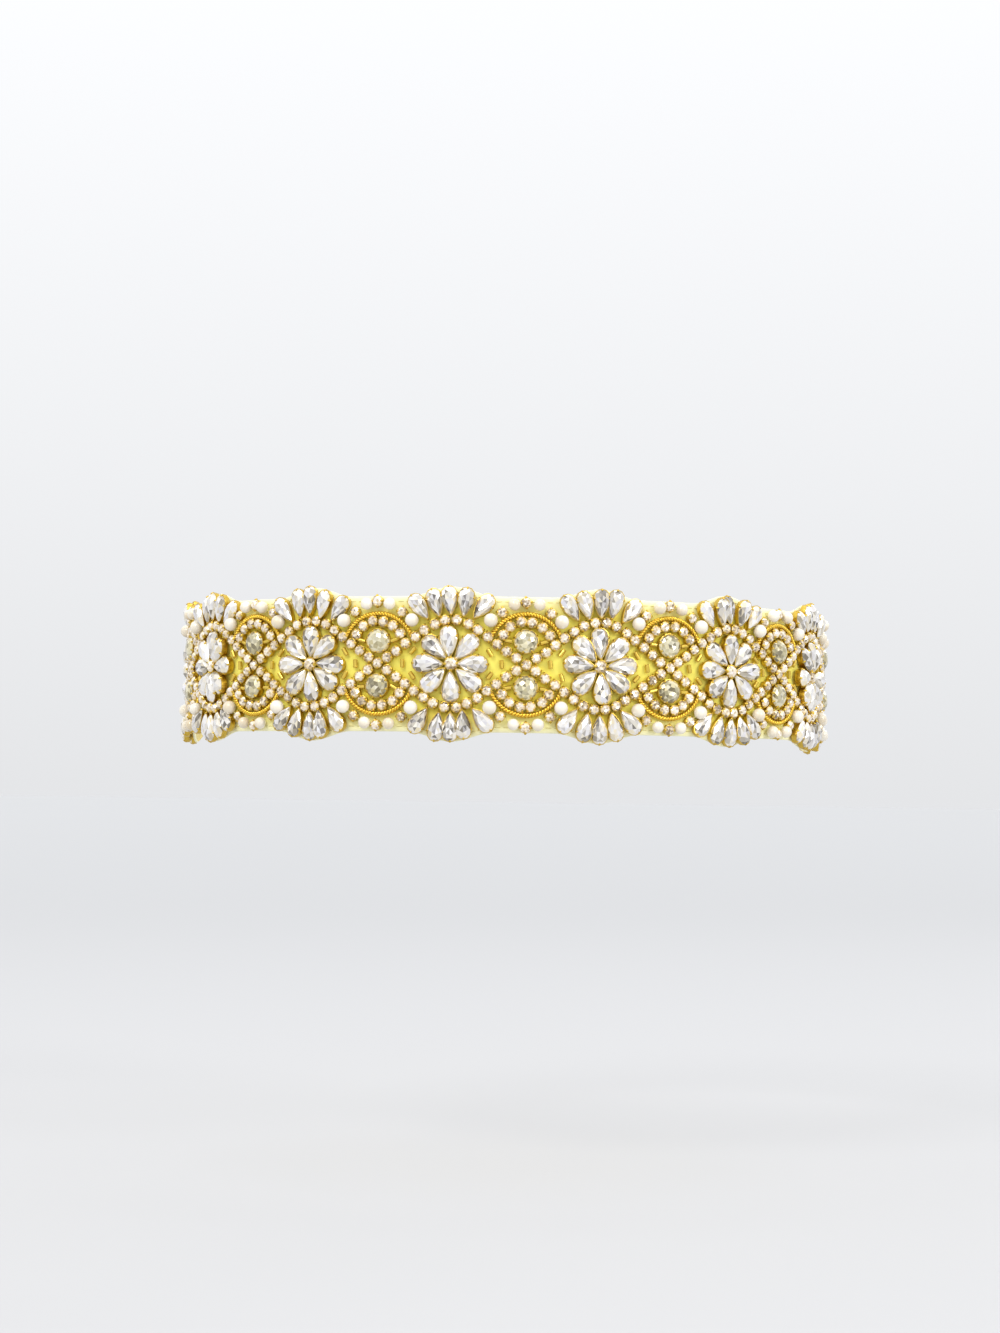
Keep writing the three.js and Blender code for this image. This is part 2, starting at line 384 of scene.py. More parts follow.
@dataclass(frozen=True)
class GoldFinish:
    """Thin gold plate, a little darker and duller where it is rubbed."""

    name: str
    colour: Colour
    shade: Colour
    roughness: float
    metallic: float = 1.0
    polish_scale: float = 900.0
    polish: float = 0.15
    rubbed: float = 0.08
    grain_scale: float = 2600.0
    grain_depth: float = 0.05
    grain_strength: float = 0.25

    def material(self) -> bpy.types.Material:
        """Mixes the finish.

        Returns:
            The material.
        """
        shader = Shader.paint(self.name)
        polished = shader.speckle(self.polish_scale, detail=3.0)
        grain = shader.speckle(self.grain_scale)
        return shader.surface(
            Base_Color=shader.mix(polished, self.shade, self.colour),
            Metallic=self.metallic,
            Roughness=(self.roughness + self.rubbed) - polished * self.polish,
            Normal=shader.relief(grain, self.grain_depth * MM, self.grain_strength),
        )


@dataclass(frozen=True)
class PearlFinish:
    """Pearl coating: pale, smooth and clouded, and creamier on some beads than on others."""

    name: str
    colour: Colour
    cloud: Colour
    tone_scale: float = 120.0
    tone_share: float = 2.4
    cloud_scale: float = 420.0
    cloud_share: float = 0.5
    pale_share: float = 1.2
    roughness: float = 0.16
    cloud_roughness: float = 0.12
    coat: float = 0.6
    coat_roughness: float = 0.08
    sheen: float = 0.15

    def material(self) -> bpy.types.Material:
        """Mixes the finish.

        Returns:
            The material.
        """
        shader = Shader.paint(self.name)
        cloud = shader.speckle(self.cloud_scale)
        tone = shader.speckle(self.tone_scale, detail=0.0)
        clouded = tone * self.tone_share + cloud * self.cloud_share - self.pale_share
        return shader.surface(
            Base_Color=shader.mix(clouded, self.colour, self.cloud),
            Roughness=cloud * self.cloud_roughness + self.roughness,
            Coat_Weight=self.coat,
            Coat_Roughness=self.coat_roughness,
            Sheen_Weight=self.sheen,
        )


@dataclass(frozen=True)
class ThreadFinish:
    """Sewing thread, with painted shade between its fibres, in random darker specks."""

    name: str
    colour: Colour
    fuzz_scale: float = 3000.0
    shade: float = 0.7
    roughness: float = 0.7

    def material(self) -> bpy.types.Material:
        """Mixes the finish.

        Returns:
            The material.
        """
        shader = Shader.paint(self.name)
        fuzz = shader.speckle(self.fuzz_scale)
        painted_fibre_shade = tuple(self.shade * part for part in self.colour)
        colour = shader.mix(fuzz, painted_fibre_shade, self.colour)
        return shader.surface(Base_Color=colour, Roughness=self.roughness)


@dataclass(frozen=True)
class StudioFinish:
    """The floor's pale paint, darker near the sash and fading to the sky's own white far off: painted shade
    that evens out the lamps' brighter light near the sash, and painted brightening far off.
    """

    name: str
    near: Colour
    far: Colour
    fade_length: float
    roughness: float = 0.9

    def material(self) -> bpy.types.Material:
        """Mixes the finish.

        Returns:
            The material.
        """
        shader = Shader.paint(self.name)
        place = shader.node("ShaderNodeTexCoord", output="Object")
        away = shader.node("ShaderNodeVectorMath", {"operation": "LENGTH"}, {0: place}, "Value")
        square = away * away
        share = square / (square + self.fade_length**2)
        # Painted light: darker near the middle where the lamps light the floor most, paler far off where
        # only the sky lights it.
        colour = shader.mix(share, self.near, self.far)
        return shader.surface(Base_Color=colour, Roughness=self.roughness)


# The flat pattern and the waist


def lengths_along(line: np.ndarray) -> np.ndarray:
    """The length along a line of points, up to each of them."""
    return np.concatenate([[0.0], np.cumsum(np.linalg.norm(np.diff(line, axis=0), axis=1))])


def points_on(line: np.ndarray, marks: np.ndarray, places: np.ndarray) -> np.ndarray:
    """Points at places along a line, where marks are the places of the line's own points."""
    return np.stack([np.interp(places, marks, column) for column in line.T], 1)


@dataclass(frozen=True)
class Waist:
    """The oval that the sash goes round, measured along its own line."""

    half_width: float
    half_depth: float
    samples: int = 7200

    @cached_property
    def turns(self) -> np.ndarray:
        """Evenly spaced turns round the oval, from the front towards +X."""
        return np.linspace(-0.5 * math.pi, 1.5 * math.pi, self.samples + 1)

    @cached_property
    def lengths(self) -> np.ndarray:
        """The length along the oval at each turn."""
        return lengths_along(self.at(self.turns))

    @property
    def length(self) -> float:
        """The whole length round the oval."""
        return float(self.lengths[-1])

    def at(self, turn: np.ndarray) -> np.ndarray:
        """Points of the oval at turns round it, as rows of x and y."""
        return np.stack([self.half_width * np.cos(turn), self.half_depth * np.sin(turn)], 1)

    def wrap(self, flat: Sequence[Sequence[float]] | np.ndarray) -> np.ndarray:
        """Lays points of the flat pattern round the waist.

        Args:
            flat: Rows of along, up and out, in millimetres.

        Returns:
            Rows of x, y and z, in metres.
        """
        flat = np.asarray(flat, float)
        turn = np.interp(flat[:, 0] % self.length, self.lengths, self.turns)
        outward = np.stack([np.cos(turn) / self.half_width, np.sin(turn) / self.half_depth], 1)
        outward /= np.linalg.norm(outward, axis=1, keepdims=True)
        level = self.at(turn) + outward * flat[:, 2:3]
        return np.concatenate([level, flat[:, 1:2]], 1) * MM

    def place(self, along: float, up: float, out: float = 0.0, turn: float = 0.0) -> Matrix:
        """The place of a stiff piece that sits on the cloth.

        Args:
            along: Its place round the waist.
            up: Its height.
            out: Its distance from the cloth's outer face.
            turn: How far its own X is turned up from the band, in radians.

        Returns:
            A matrix from the piece's millimetres to metres.
        """
        step = 0.01
        foot, ahead, lifted = self.wrap([(along, up, 0), (along + step, up, 0), (along, up, 1)])
        outward = Vector(lifted - foot).normalized()
        forward = Vector(ahead - foot).normalized()
        upward = outward.cross(forward)
        axis_x = forward * math.cos(turn) + upward * math.sin(turn)
        axis_y = outward.cross(axis_x)
        matrix = Matrix((axis_x * MM, axis_y * MM, outward * MM)).transposed().to_4x4()
        matrix.translation = Vector(foot) + outward * out * MM
        return matrix


@dataclass(frozen=True)
class Band:
    """The flat pattern that all the beadwork shares."""

    waist: Waist
    pitch: float = 56.0
    flower_count: int = 8
    half_height: float = 25.5
    scallop_rise: float = 3.6
    scallop_half_length: float = 17.0
    taper_start: float = 8.0
    end_length: float = 36.5
    end_height: float = 27.0
    end_power: float = 1.2
    tip_radius: float = 2.6
    tip_flat: float = 0.3
    chain_swing: float = 15.2
    chain_sharpness: float = 1.2

    @property
    def flower_reach(self) -> float:
        """How far the last flower is from the middle of the front."""
        return (self.flower_count - 1) / 2 * self.pitch

    @property
    def reach(self) -> float:
        """Half the panel's length."""
        return self.flower_reach + self.end_length

    @property
    def flowers(self) -> list[float]:
        """The place of each flower along the band."""
        return [i * self.pitch - self.flower_reach for i in range(self.flower_count)]

    @property
    def crossings(self) -> list[float]:
        """The place of each crossing between two flowers."""
        return [along + self.pitch / 2 for along in self.flowers[:-1]]

    def edge(self, along: np.ndarray) -> np.ndarray:
        """Half the panel's height, with its scallops and tapered ends.

        Args:
            along: Places along the band.

        Returns:
            The half height at each place.
        """
        position = along / self.pitch + (self.flower_count - 1) / 2
        nearest = np.clip(np.round(position), 0, self.flower_count - 1)
        from_flower = np.minimum(np.abs(position - nearest) * self.pitch, self.scallop_half_length)
        bulge = np.cos(0.5 * math.pi * from_flower / self.scallop_half_length) ** 2
        height = self.half_height + self.scallop_rise * bulge
        into_taper = np.abs(along) - self.flower_reach - self.taper_start
        share = np.clip(into_taper / (self.end_length - self.taper_start), 0.0, 1.0)
        tapered = self.end_height * np.cos(0.5 * math.pi * share) ** self.end_power
        into_tip = np.abs(along) - self.reach + self.tip_radius
        tip = np.sqrt(np.clip(1 - (np.maximum(into_tip, 0.0) / self.tip_radius) ** 2, self.tip_flat**2, 1.0))
        tapered = np.maximum(tapered, self.tip_radius * tip)
        return np.where(into_taper > 0, np.minimum(height, tapered), height)

    def from_flower(self, along: np.ndarray) -> np.ndarray:
        """How far places along the band are from the nearest flower's middle."""
        return (along + self.flower_reach + self.pitch / 2) % self.pitch - self.pitch / 2

    def chain(self, from_flower: np.ndarray) -> np.ndarray:
        """The height of the upper chain at distances from a flower's middle."""
        phase = math.pi / self.pitch * from_flower
        return self.chain_swing * np.cos(phase) + self.chain_sharpness * np.cos(3 * phase)


# Small forms and the meshes that are made of them


@dataclass
class Form:
    """A small shape in millimetres, made once and copied many times."""

    points: np.ndarray
    faces: list[tuple[int, ...]]

    @cached_property
    def normals(self) -> np.ndarray:
        """The way each face looks, in the form's own axes."""
        corners = np.array([self.points[list(face[:3])] for face in self.faces])
        normals = np.cross(corners[:, 1] - corners[:, 0], corners[:, 2] - corners[:, 0])
        return normals / np.linalg.norm(normals, axis=1, keepdims=True)

    @classmethod
    def of(cls, shape: bmesh.types.BMesh) -> Form:
        """Takes a bmesh's points and faces, and frees it.

        Args:
            shape: The bmesh, in millimetres.

        Returns:
            The form, with its faces looking out.
        """
        bmesh.ops.recalc_face_normals(shape, faces=shape.faces)
        shape.verts.index_update()
        form = cls(
            np.array([vert.co for vert in shape.verts]),
            [tuple(vert.index for vert in face.verts) for face in shape.faces],
        )
        shape.free()
        return form

    def in_order(self) -> Form:
        """Sorts the points and faces, which some operators leave in any order.

        Returns:
            The same form in order.
        """
        order = np.lexsort(np.round(self.points, 4).T)
        rank = np.argsort(order).tolist()
        faces = [tuple(rank[i] for i in face) for face in self.faces]
        starts = [face.index(min(face)) for face in faces]
        return Form(self.points[order], sorted(face[i:] + face[:i] for face, i in zip(faces, starts)))


@dataclass(frozen=True)
class Sparkle:
    """How cut stones and their facets differ in painted brightness, and in the painted reflected colour they
    throw back.
    """

    brightness: float = 0.56
    between_stones: float = 0.1
    by_facing: float = 0.35
    between_facets: float = 0.28
    painted_fire: float = 0.3
    fire_spread: float = 0.18
    fire_at_sides: float = 0.5


@dataclass
class Cluster:
    """Copies of small forms that are joined into one mesh."""

    name: str
    points: list[np.ndarray] = field(default_factory=list)
    faces: list[tuple[int, ...]] = field(default_factory=list)
    owners: list[int] = field(default_factory=list)
    normals: list[np.ndarray] = field(default_factory=list)
    size: int = 0
    copies: int = 0

    def add(self, form: Form, place: Matrix) -> None:
        """Adds a copy of a form.

        Args:
            form: The form.
            place: Where it goes, from millimetres to metres.
        """
        matrix = np.array(place)
        self.points.append(form.points @ matrix[:3, :3].T + matrix[:3, 3])
        self.faces.extend(tuple(i + self.size for i in face) for face in form.faces)
        self.owners.extend([self.copies] * len(form.faces))
        self.normals.append(form.normals)
        self.size += len(form.points)
        self.copies += 1

    def build(self, material: bpy.types.Material, smooth_angle: float | None) -> bpy.types.Object:
        """Joins the copies.

        Args:
            material: The finish of all of them.
            smooth_angle: Edges under this angle are shaded smooth, in degrees, or none are.

        Returns:
            The finished piece.
        """
        mesh = bpy.data.meshes.new(self.name)
        mesh.from_pydata(np.concatenate(self.points).tolist(), [], self.faces)
        mesh.materials.append(material)
        if smooth_angle is not None:
            mesh.shade_smooth()
            mesh.set_sharp_from_angle(angle=math.radians(smooth_angle))
        return link(bpy.data.objects.new(self.name, mesh))

    def build_stones(self, material: bpy.types.Material, sparkle: Sparkle, seed: int) -> bpy.types.Object:
        """Joins cut stones and paints light into each facet: its own painted brightness and painted
        reflected colour.

        Args:
            material: The stones' finish.
            sparkle: How much the stones and facets differ.
            seed: The start of the random draws.

        Returns:
            The finished piece.
        """
        piece = self.build(material, None)
        rng = np.random.default_rng(seed)
        owners = np.array(self.owners)
        normals = np.concatenate(self.normals)
        # Painted light: each stone has a random way the light comes from, and its facets that turn that way
        # are painted brighter.
        painted_light_way = rng.uniform(0.0, 2 * math.pi, self.copies)[owners]
        painted_facing = normals[:, 0] * np.cos(painted_light_way) + normals[:, 1] * np.sin(painted_light_way)
        mood = rng.normal(sparkle.brightness, sparkle.between_stones, self.copies)[owners]
        chance = rng.normal(0.0, sparkle.between_facets, len(owners))
        # Painted reflection: facets that face sideways get more of the warm reflected colour.
        sideways = np.clip(1.0 - normals[:, 2], 0.0, 1.0)
        thrown = rng.normal(sparkle.painted_fire, sparkle.fire_spread, len(owners))
        tones = {
            "painted_glint": mood + sparkle.by_facing * painted_facing + chance,
            "painted_fire": thrown + sparkle.fire_at_sides * sideways,
        }
        for name, values in tones.items():
            layer = piece.data.attributes.new(name, "FLOAT", "FACE")
            layer.data.foreach_set("value", np.clip(values, 0.0, 1.0).astype(np.float32))
        return piece


def link(piece: bpy.types.Object) -> bpy.types.Object:
    """Puts an object into the scene."""
    bpy.context.scene.collection.objects.link(piece)
    return piece


def settle(piece: bpy.types.Object, nodes: Iterable[str] = ()) -> None:
    """Fixes a piece to the sash's one body.

    Args:
        piece: The piece.
        nodes: The frame's nodes that it stands for.
    """
    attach(piece, BODY)
    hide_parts(*nodes)
    LOG.info("%s: %d faces", piece.name, len(piece.data.polygons))


def strands(
    name: str, paths: Sequence[np.ndarray], radius: float, sides: int, material: bpy.types.Material
) -> bpy.types.Object:
    """Round strands along open paths.

    Args:
        name: The piece's name.
        paths: The points of each strand, in metres.
        radius: The strands' radius, in millimetres.
        sides: How many sides a strand has, an even number from 4.
        material: The finish of all of them.

    Returns:
        All the strands as one piece.
    """
    curve = bpy.data.curves.new(name, "CURVE")
    curve.dimensions = "3D"
    curve.bevel_depth = radius * MM
    curve.bevel_resolution = sides // 2 - 2
    curve.use_fill_caps = True
    for path in paths:
        spline = curve.splines.new("POLY")
        spline.points.add(len(path) - 1)
        spline.points.foreach_set("co", np.c_[path, np.ones(len(path))].ravel())
    holder = bpy.data.objects.new(name, curve)
    mesh = bpy.data.meshes.new_from_object(holder)
    mesh.name = name
    bpy.data.objects.remove(holder)
    bpy.data.curves.remove(curve)
    mesh.materials.append(material)
    return link(bpy.data.objects.new(name, mesh))


# Stones and their settings


@dataclass(frozen=True)
class Ring:
    """One ring of a cut stone's corners: how far out, how large, and which stations it uses."""

    out: float
    scale: float
    start: int = 0
    step: int = 1


@dataclass(frozen=True)
class StoneCut:
    """A cut stone, and the gold setting that holds it.

    The setting is a cup that widens from its foot, stands upright at its rim and turns in over the
    stone at its lip. The shares of the foot and the lip are of the rim's growth round the stone,
    and the share of the flare is of its height.
    """

    rings: tuple[Ring, ...]
    table_dip: float
    rim_out: float
    rim_grow: float
    claw_stations: tuple[int, ...]
    claw_size: tuple[float, float, float]
    claw_lean: float
    claw_sides: tuple[int, int] = (7, 5)
    foot_out: float = CLOTH_GAP
    foot_share: float = 0.4
    flare_share: float = 0.55
    lip_rise: float = 0.08
    lip_share: float = -0.5
    flat_angle: float = 0.03

    def outline(self) -> np.ndarray:
        """The stations of the stone's outline, as rows of x and y."""
        raise NotImplementedError

    def heart(self) -> float:
        """The place on its own X that the stone narrows towards."""
        raise NotImplementedError

    def stone(self) -> Form:
        """Cuts the stone: the hull of its rings, with a dip in its table.

        Returns:
            The faceted stone.
        """
        shape = bmesh.new()
        outline = self.outline()
        heart = np.array([self.heart(), 0.0])
        for ring in self.rings:
            for x, y in heart + (outline[ring.start :: ring.step] - heart) * ring.scale:
                shape.verts.new((x, y, ring.out))
        hull = bmesh.ops.convex_hull(shape, input=shape.verts)
        spare = {part for part in hull["geom_interior"] if isinstance(part, bmesh.types.BMVert)}
        bmesh.ops.delete(shape, geom=list(spare), context="VERTS")
        bmesh.ops.dissolve_limit(
            shape, angle_limit=self.flat_angle, verts=shape.verts, edges=shape.edges
        )
        table = max(shape.faces, key=lambda face: face.calc_center_median().z)
        bmesh.ops.poke(shape, faces=[table], offset=-self.table_dip)
        return Form.of(shape)

    def setting(self) -> Form:
        """Makes the cup under the stone, with the claws that reach over its edge.

        Returns:
            The setting.
        """
        shape = bmesh.new()
        outline = self.outline()
        heart = np.array([self.heart(), 0.0])
        half_width = float(np.abs(outline[:, 1]).max())
        station = shape.verts.layers.int.new("station")
        ring = bmesh.ops.create_circle(shape, cap_ends=True, radius=1.0, segments=len(outline))["verts"]
        for number, vert in enumerate(ring):
            vert[station] = number
        levels = (
            (self.foot_out, self.foot_share * self.rim_grow),
            (self.flare_share * self.rim_out, self.rim_grow),
            (self.rim_out, self.rim_grow),
            (self.rim_out + self.lip_rise, self.lip_share * self.rim_grow),
        )
        rim = list(shape.edges)
        for number, (out, grow) in enumerate(levels):
            if number:
                grown = bmesh.ops.extrude_edge_only(shape, edges=rim)["geom"]
                ring = [part for part in grown if isinstance(part, bmesh.types.BMVert)]
                rim = [p for p in grown if isinstance(p, bmesh.types.BMEdge) and p.is_boundary]
            for vert in ring:
                x, y = heart + (outline[vert[station]] - heart) * (1 + grow / half_width)
                vert.co = (x, y, out)
        bmesh.ops.edgeloop_fill(shape, edges=rim)
        for number in self.claw_stations:
            self._add_claw(shape, Vector(outline[number]), Vector(outline[number] - heart))
        return Form.of(shape).in_order()

    def _add_claw(self, shape: bmesh.types.BMesh, foot: Vector, outward: Vector) -> None:
        """Adds one claw at a station.

        Args:
            shape: The setting.
            foot: The station.
            outward: The way out from the stone's heart.
        """
        turn = Matrix.Rotation(math.atan2(outward.y, outward.x), 4, "Z")
        lean = Matrix.Rotation(-math.radians(self.claw_lean), 4, "Y")
        size = Matrix.Diagonal((*self.claw_size, 1.0))
        place = Matrix.Translation((foot.x, foot.y, self.rim_out)) @ turn @ lean @ size
        around, over = self.claw_sides
        bmesh.ops.create_uvsphere(shape, u_segments=around, v_segments=over, radius=1.0, matrix=place)


@dataclass(frozen=True)
class DropCut(StoneCut):
    """A drop-shaped stone with its point at the origin."""

    length: float = 12.0
    width: float = 7.0
    stations: int = 16
    heart_share: float = 0.6

    def outline(self) -> np.ndarray:
        """Draws the drop, from its point.

        Returns:
            The stations of its outline, as rows of x and y.
        """
        turn = 2 * math.pi * np.arange(self.stations) / self.stations
        # The curve below is this high at its widest place, before it is scaled to the width.
        widest = 0.77
        x = self.length / 2 * (1 - np.cos(turn))
        y = self.width / 2 / widest * np.sin(turn) * np.abs(np.sin(turn / 2))
        return np.stack([x, y], 1)

    def heart(self) -> float:
        """The middle of the drop's round end."""
        return self.heart_share * self.length


@dataclass(frozen=True)
class RoundCut(StoneCut):
    """A round stone with its middle at the origin."""

    radius: float = 1.85
    stations: int = 12

    def outline(self) -> np.ndarray:
        """The stations of the circle."""
        turn = 2 * math.pi * (np.arange(self.stations) + 0.5) / self.stations
        return self.radius * np.stack([np.cos(turn), np.sin(turn)], 1)

    def heart(self) -> float:
        """The middle."""
        return 0.0


PETAL = DropCut(
    rings=(Ring(1.0, 0.94), Ring(2.6, 1.0), Ring(3.65, 0.82, 1, 2), Ring(4.5, 0.5, 0, 2)),
    table_dip=0.25,
    rim_out=2.5,
    rim_grow=0.24,
    claw_stations=(0, 5, 8, 11),
    claw_size=(0.36, 0.5, 1.0),
    claw_lean=24.0,
)
FAN_DROP = DropCut(
    rings=(Ring(1.0, 0.94), Ring(2.4, 1.0), Ring(3.4, 0.82, 1, 2), Ring(4.2, 0.5, 0, 2)),
    table_dip=0.22,
    rim_out=2.3,
    rim_grow=0.22,
    claw_stations=(0, 5, 8, 11),
    claw_size=(0.34, 0.46, 0.9),
    claw_lean=24.0,
    length=11.1,
    width=6.2,
)
EYE = RoundCut(
    rings=(
        Ring(1.0, 0.9),
        Ring(2.4, 1.0),
        Ring(3.2, 0.87, 1, 2),
        Ring(3.85, 0.66, 0, 2),
        Ring(4.3, 0.4, 1, 4),
    ),
    table_dip=0.2,
    rim_out=2.3,
    rim_grow=0.22,
    claw_stations=(0, 3, 6, 9, 12, 15, 18, 21),
    claw_size=(0.4, 0.5, 1.0),
    claw_lean=30.0,
    radius=4.5,
    stations=24,
)
CHATON = RoundCut(
    rings=(Ring(0.8, 0.85), Ring(2.0, 1.0), Ring(2.6, 0.8, 1, 2), Ring(3.0, 0.52, 0, 2)),
    table_dip=0.12,
    rim_out=1.95,
    rim_grow=0.13,
    claw_stations=(1, 4, 7, 10),
    claw_size=(0.4, 0.52, 0.78),
    claw_lean=38.0,
)


@dataclass
class Jewels:
    """Set stones of one kind: their stones in one mesh and their settings in another."""

    name: str
    cut: StoneCut
    waist: Waist
    seed: int
    stones: Cluster = field(init=False)
    settings: Cluster = field(init=False)
    rng: np.random.Generator = field(init=False)
    forms: tuple[Form, Form] = field(init=False)
    sway: float = 3.2
    wander: float = 0.16
    sparkle: Sparkle = Sparkle()

    def __post_init__(self) -> None:
        """Cuts the one stone and setting that are copied."""
        self.stones = Cluster(f"{self.name}_stones")
        self.settings = Cluster(f"{self.name}_settings")
        self.rng = np.random.default_rng(self.seed)
        self.forms = (self.cut.stone(), self.cut.setting())

    def sew(self, along: float, up: float, turn: float = 0.0, size: float = 1.0) -> None:
        """Sews on one set stone, a little out of true as by hand.

        Args:
            along: Its place along the band.
            up: Its height.
            turn: The way its point or its claws turn, in radians.
            size: Its size against the cut.
        """
        tip_x, tip_y, tip_z = np.radians(self.rng.normal(0.0, self.sway, 3))
        off_along, off_up = self.rng.normal(0.0, self.wander, 2)
        sway = Matrix.Rotation(tip_x, 4, "X") @ Matrix.Rotation(tip_y, 4, "Y")
        foot = self.waist.place(along + off_along, up + off_up, 0.0, turn + tip_z)
        place = foot @ sway @ Matrix.Scale(size, 4)
        self.stones.add(self.forms[0], place)
        self.settings.add(self.forms[1], place)

    def build(
        self, crystal: bpy.types.Material, gold: bpy.types.Material, nodes: Iterable[str] = ()
    ) -> None:
        """Makes both pieces.

        Args:
            crystal: The stones' finish.
            gold: The settings' finish.
            nodes: The frame's nodes that the stones stand for.
        """
        settle(self.stones.build_stones(crystal, self.sparkle, self.seed), nodes)
        settle(self.settings.build(gold, SHARP_ANGLE))


@dataclass
class Finishes:
    """The finishes that the pieces share."""

    panel: bpy.types.Material
    ribbon: bpy.types.Material
    lining: bpy.types.Material
    petal: bpy.types.Material
    eye: bpy.types.Material
    chaton: bpy.types.Material
    gold: bpy.types.Material
    cord: bpy.types.Material
    bugle: bpy.types.Material
    pearl: bpy.types.Material
    thread: bpy.types.Material

    @classmethod
    def mix(cls) -> Finishes:
        """Makes each finish once.

        Returns:
            All the finishes.
        """
        return cls(
            panel=ClothFinish(
                "yellow_ground_cloth",
                colour=(0.97, 0.91, 0.19),
                shade=(0.96, 0.83, 0.09),
                painted_shade=(0.98, 0.80, 0.06),
                edge=(0.94, 0.91, 0.62),
                thread_along=0.5,
                thread_up=0.5,
                roughness=0.72,
                sheen=0.3,
                weave_depth=0.12,
            ).material(),
            ribbon=ClothFinish(
                "yellow_satin_ribbon",
                colour=(0.80, 0.64, 0.10),
                shade=(0.70, 0.52, 0.05),
                painted_shade=(0.60, 0.40, 0.02),
                edge=(0.82, 0.67, 0.15),
                thread_along=1.6,
                thread_up=0.34,
                roughness=0.42,
                sheen=0.4,
                weave_depth=0.06,
            ).material(),
            # The cloths' inner side: its own duller reverse colour, darkened further as painted shade for
            # the inside of the band.
            lining=ClothFinish(
                "dull_shaded_yellow_lining",
                colour=(0.70, 0.55, 0.14),
                shade=(0.62, 0.46, 0.09),
                painted_shade=(0.70, 0.55, 0.14),
                edge=(0.72, 0.60, 0.22),
                thread_along=0.6,
                thread_up=0.6,
                roughness=0.8,
                sheen=0.2,
                weave_depth=0.1,
            ).material(),
            petal=CrystalFinish(
                "clear_drop_crystal",
                dark=(0.20, 0.18, 0.15),
                middle=(0.73, 0.69, 0.62),
                bright=(0.92, 0.90, 0.87),
                reflected=(1.0, 0.86, 0.50),
            ).material(),
            eye=CrystalFinish(
                "smoky_round_crystal",
                dark=(0.20, 0.17, 0.10),
                middle=(0.50, 0.45, 0.27),
                bright=(0.82, 0.76, 0.54),
                reflected=(1.0, 0.86, 0.50),
                metallic=0.45,
                roughness=0.1,
                coat=0.5,
            ).material(),
            chaton=CrystalFinish(
                "pale_chain_crystal",
                dark=(0.26, 0.19, 0.11),
                middle=(0.79, 0.66, 0.46),
                bright=(0.97, 0.89, 0.76),
                reflected=(1.0, 0.82, 0.42),
                metallic=0.4,
            ).material(),
            gold=GoldFinish("gold_setting", (0.74, 0.52, 0.10), (0.50, 0.33, 0.04), 0.32).material(),
            cord=GoldFinish("gold_cord", (0.93, 0.66, 0.10), (0.74, 0.46, 0.03), 0.24, 0.8).material(),
            bugle=GoldFinish("gold_bugle", (0.84, 0.62, 0.12), (0.64, 0.44, 0.05), 0.15, 0.7).material(),
            pearl=PearlFinish("ivory_pearl", (0.85, 0.79, 0.67), (0.68, 0.57, 0.39)).material(),
            thread=ThreadFinish("yellow_thread", (0.86, 0.76, 0.30)).material(),
        )


@dataclass
class SashPart:
    """A part of the sash: the flat pattern that it follows, and the finishes that dress it."""

    band: Band
    finishes: Finishes

    def build(self) -> None:
        """Makes the part's pieces."""
        raise NotImplementedError


# Beadwork


@dataclass
class Flowers(SashPart):
    """Eight drop stones round a chaton, eight times along the front."""

    petal_count: int = 8
    petal_tip: float = 2.3
    hub_size: float = 1.35

    def build(self) -> None:
        """Makes the petals and the middles."""
        waist = self.band.waist
        petals = Jewels("flower_petal", PETAL, waist, seed=11)
        hubs = Jewels("flower_middle", CHATON, waist, seed=12)
        for along in self.band.flowers:
            hubs.sew(along, 0.0, CHATON_TURN, self.hub_size)
            for i in range(self.petal_count):
                turn = 2 * math.pi * i / self.petal_count
                across = self.petal_tip * math.cos(turn)
                petals.sew(along + across, self.petal_tip * math.sin(turn), turn)
        nodes = [f"flower_{i + 1}" for i in range(self.band.flower_count)]
        petals.build(self.finishes.petal, self.finishes.gold, nodes)
        hubs.build(self.finishes.chaton, self.finishes.gold)


@dataclass(frozen=True)
class FanStone:
    """One stone of half a fan: where its point is, and how it leans from upright."""

    across: float
    up: float
    lean: float


@dataclass
class Fans(SashPart):
    """Five drop stones spread over and under each flower."""

    half: tuple[FanStone, ...] = (
        FanStone(0.0, 18.2, 0.0),
        FanStone(4.4, 17.5, 13.0),
        FanStone(8.7, 16.5, 36.0),
    )

    def build(self) -> None:
        """Makes the fans' stones and settings."""
        drops = Jewels("fan", FAN_DROP, self.band.waist, seed=21, sway=4.5, wander=0.3)
        nodes = []
        for side, (number, along) in product(Side, enumerate(self.band.flowers, 1)):
            nodes.append(f"fan_{side.word}_{number}")
            for stone in self.half:
                for mirror in HALVES if stone.across else HALVES[:1]:
                    turn = side.value * (math.pi / 2 - mirror * math.radians(stone.lean))
                    drops.sew(along + mirror * stone.across, side.value * stone.up, turn)
        drops.build(self.finishes.petal, self.finishes.gold, nodes)


@dataclass
class EyeStones(SashPart):
    """One round stone over and under each crossing."""

    height: float = 8.6
    turn: float = 0.4

    def build(self) -> None:
        """Makes the stones and their settings."""
        eyes = Jewels("eye", EYE, self.band.waist, seed=31)
        nodes = []
        for side, (number, along) in product(Side, enumerate(self.band.crossings, 1)):
            nodes.append(f"eye_stone_{side.word}_{number}")
            eyes.sew(along, side.value * self.height, self.turn)
        eyes.build(self.finishes.eye, self.finishes.gold, nodes)


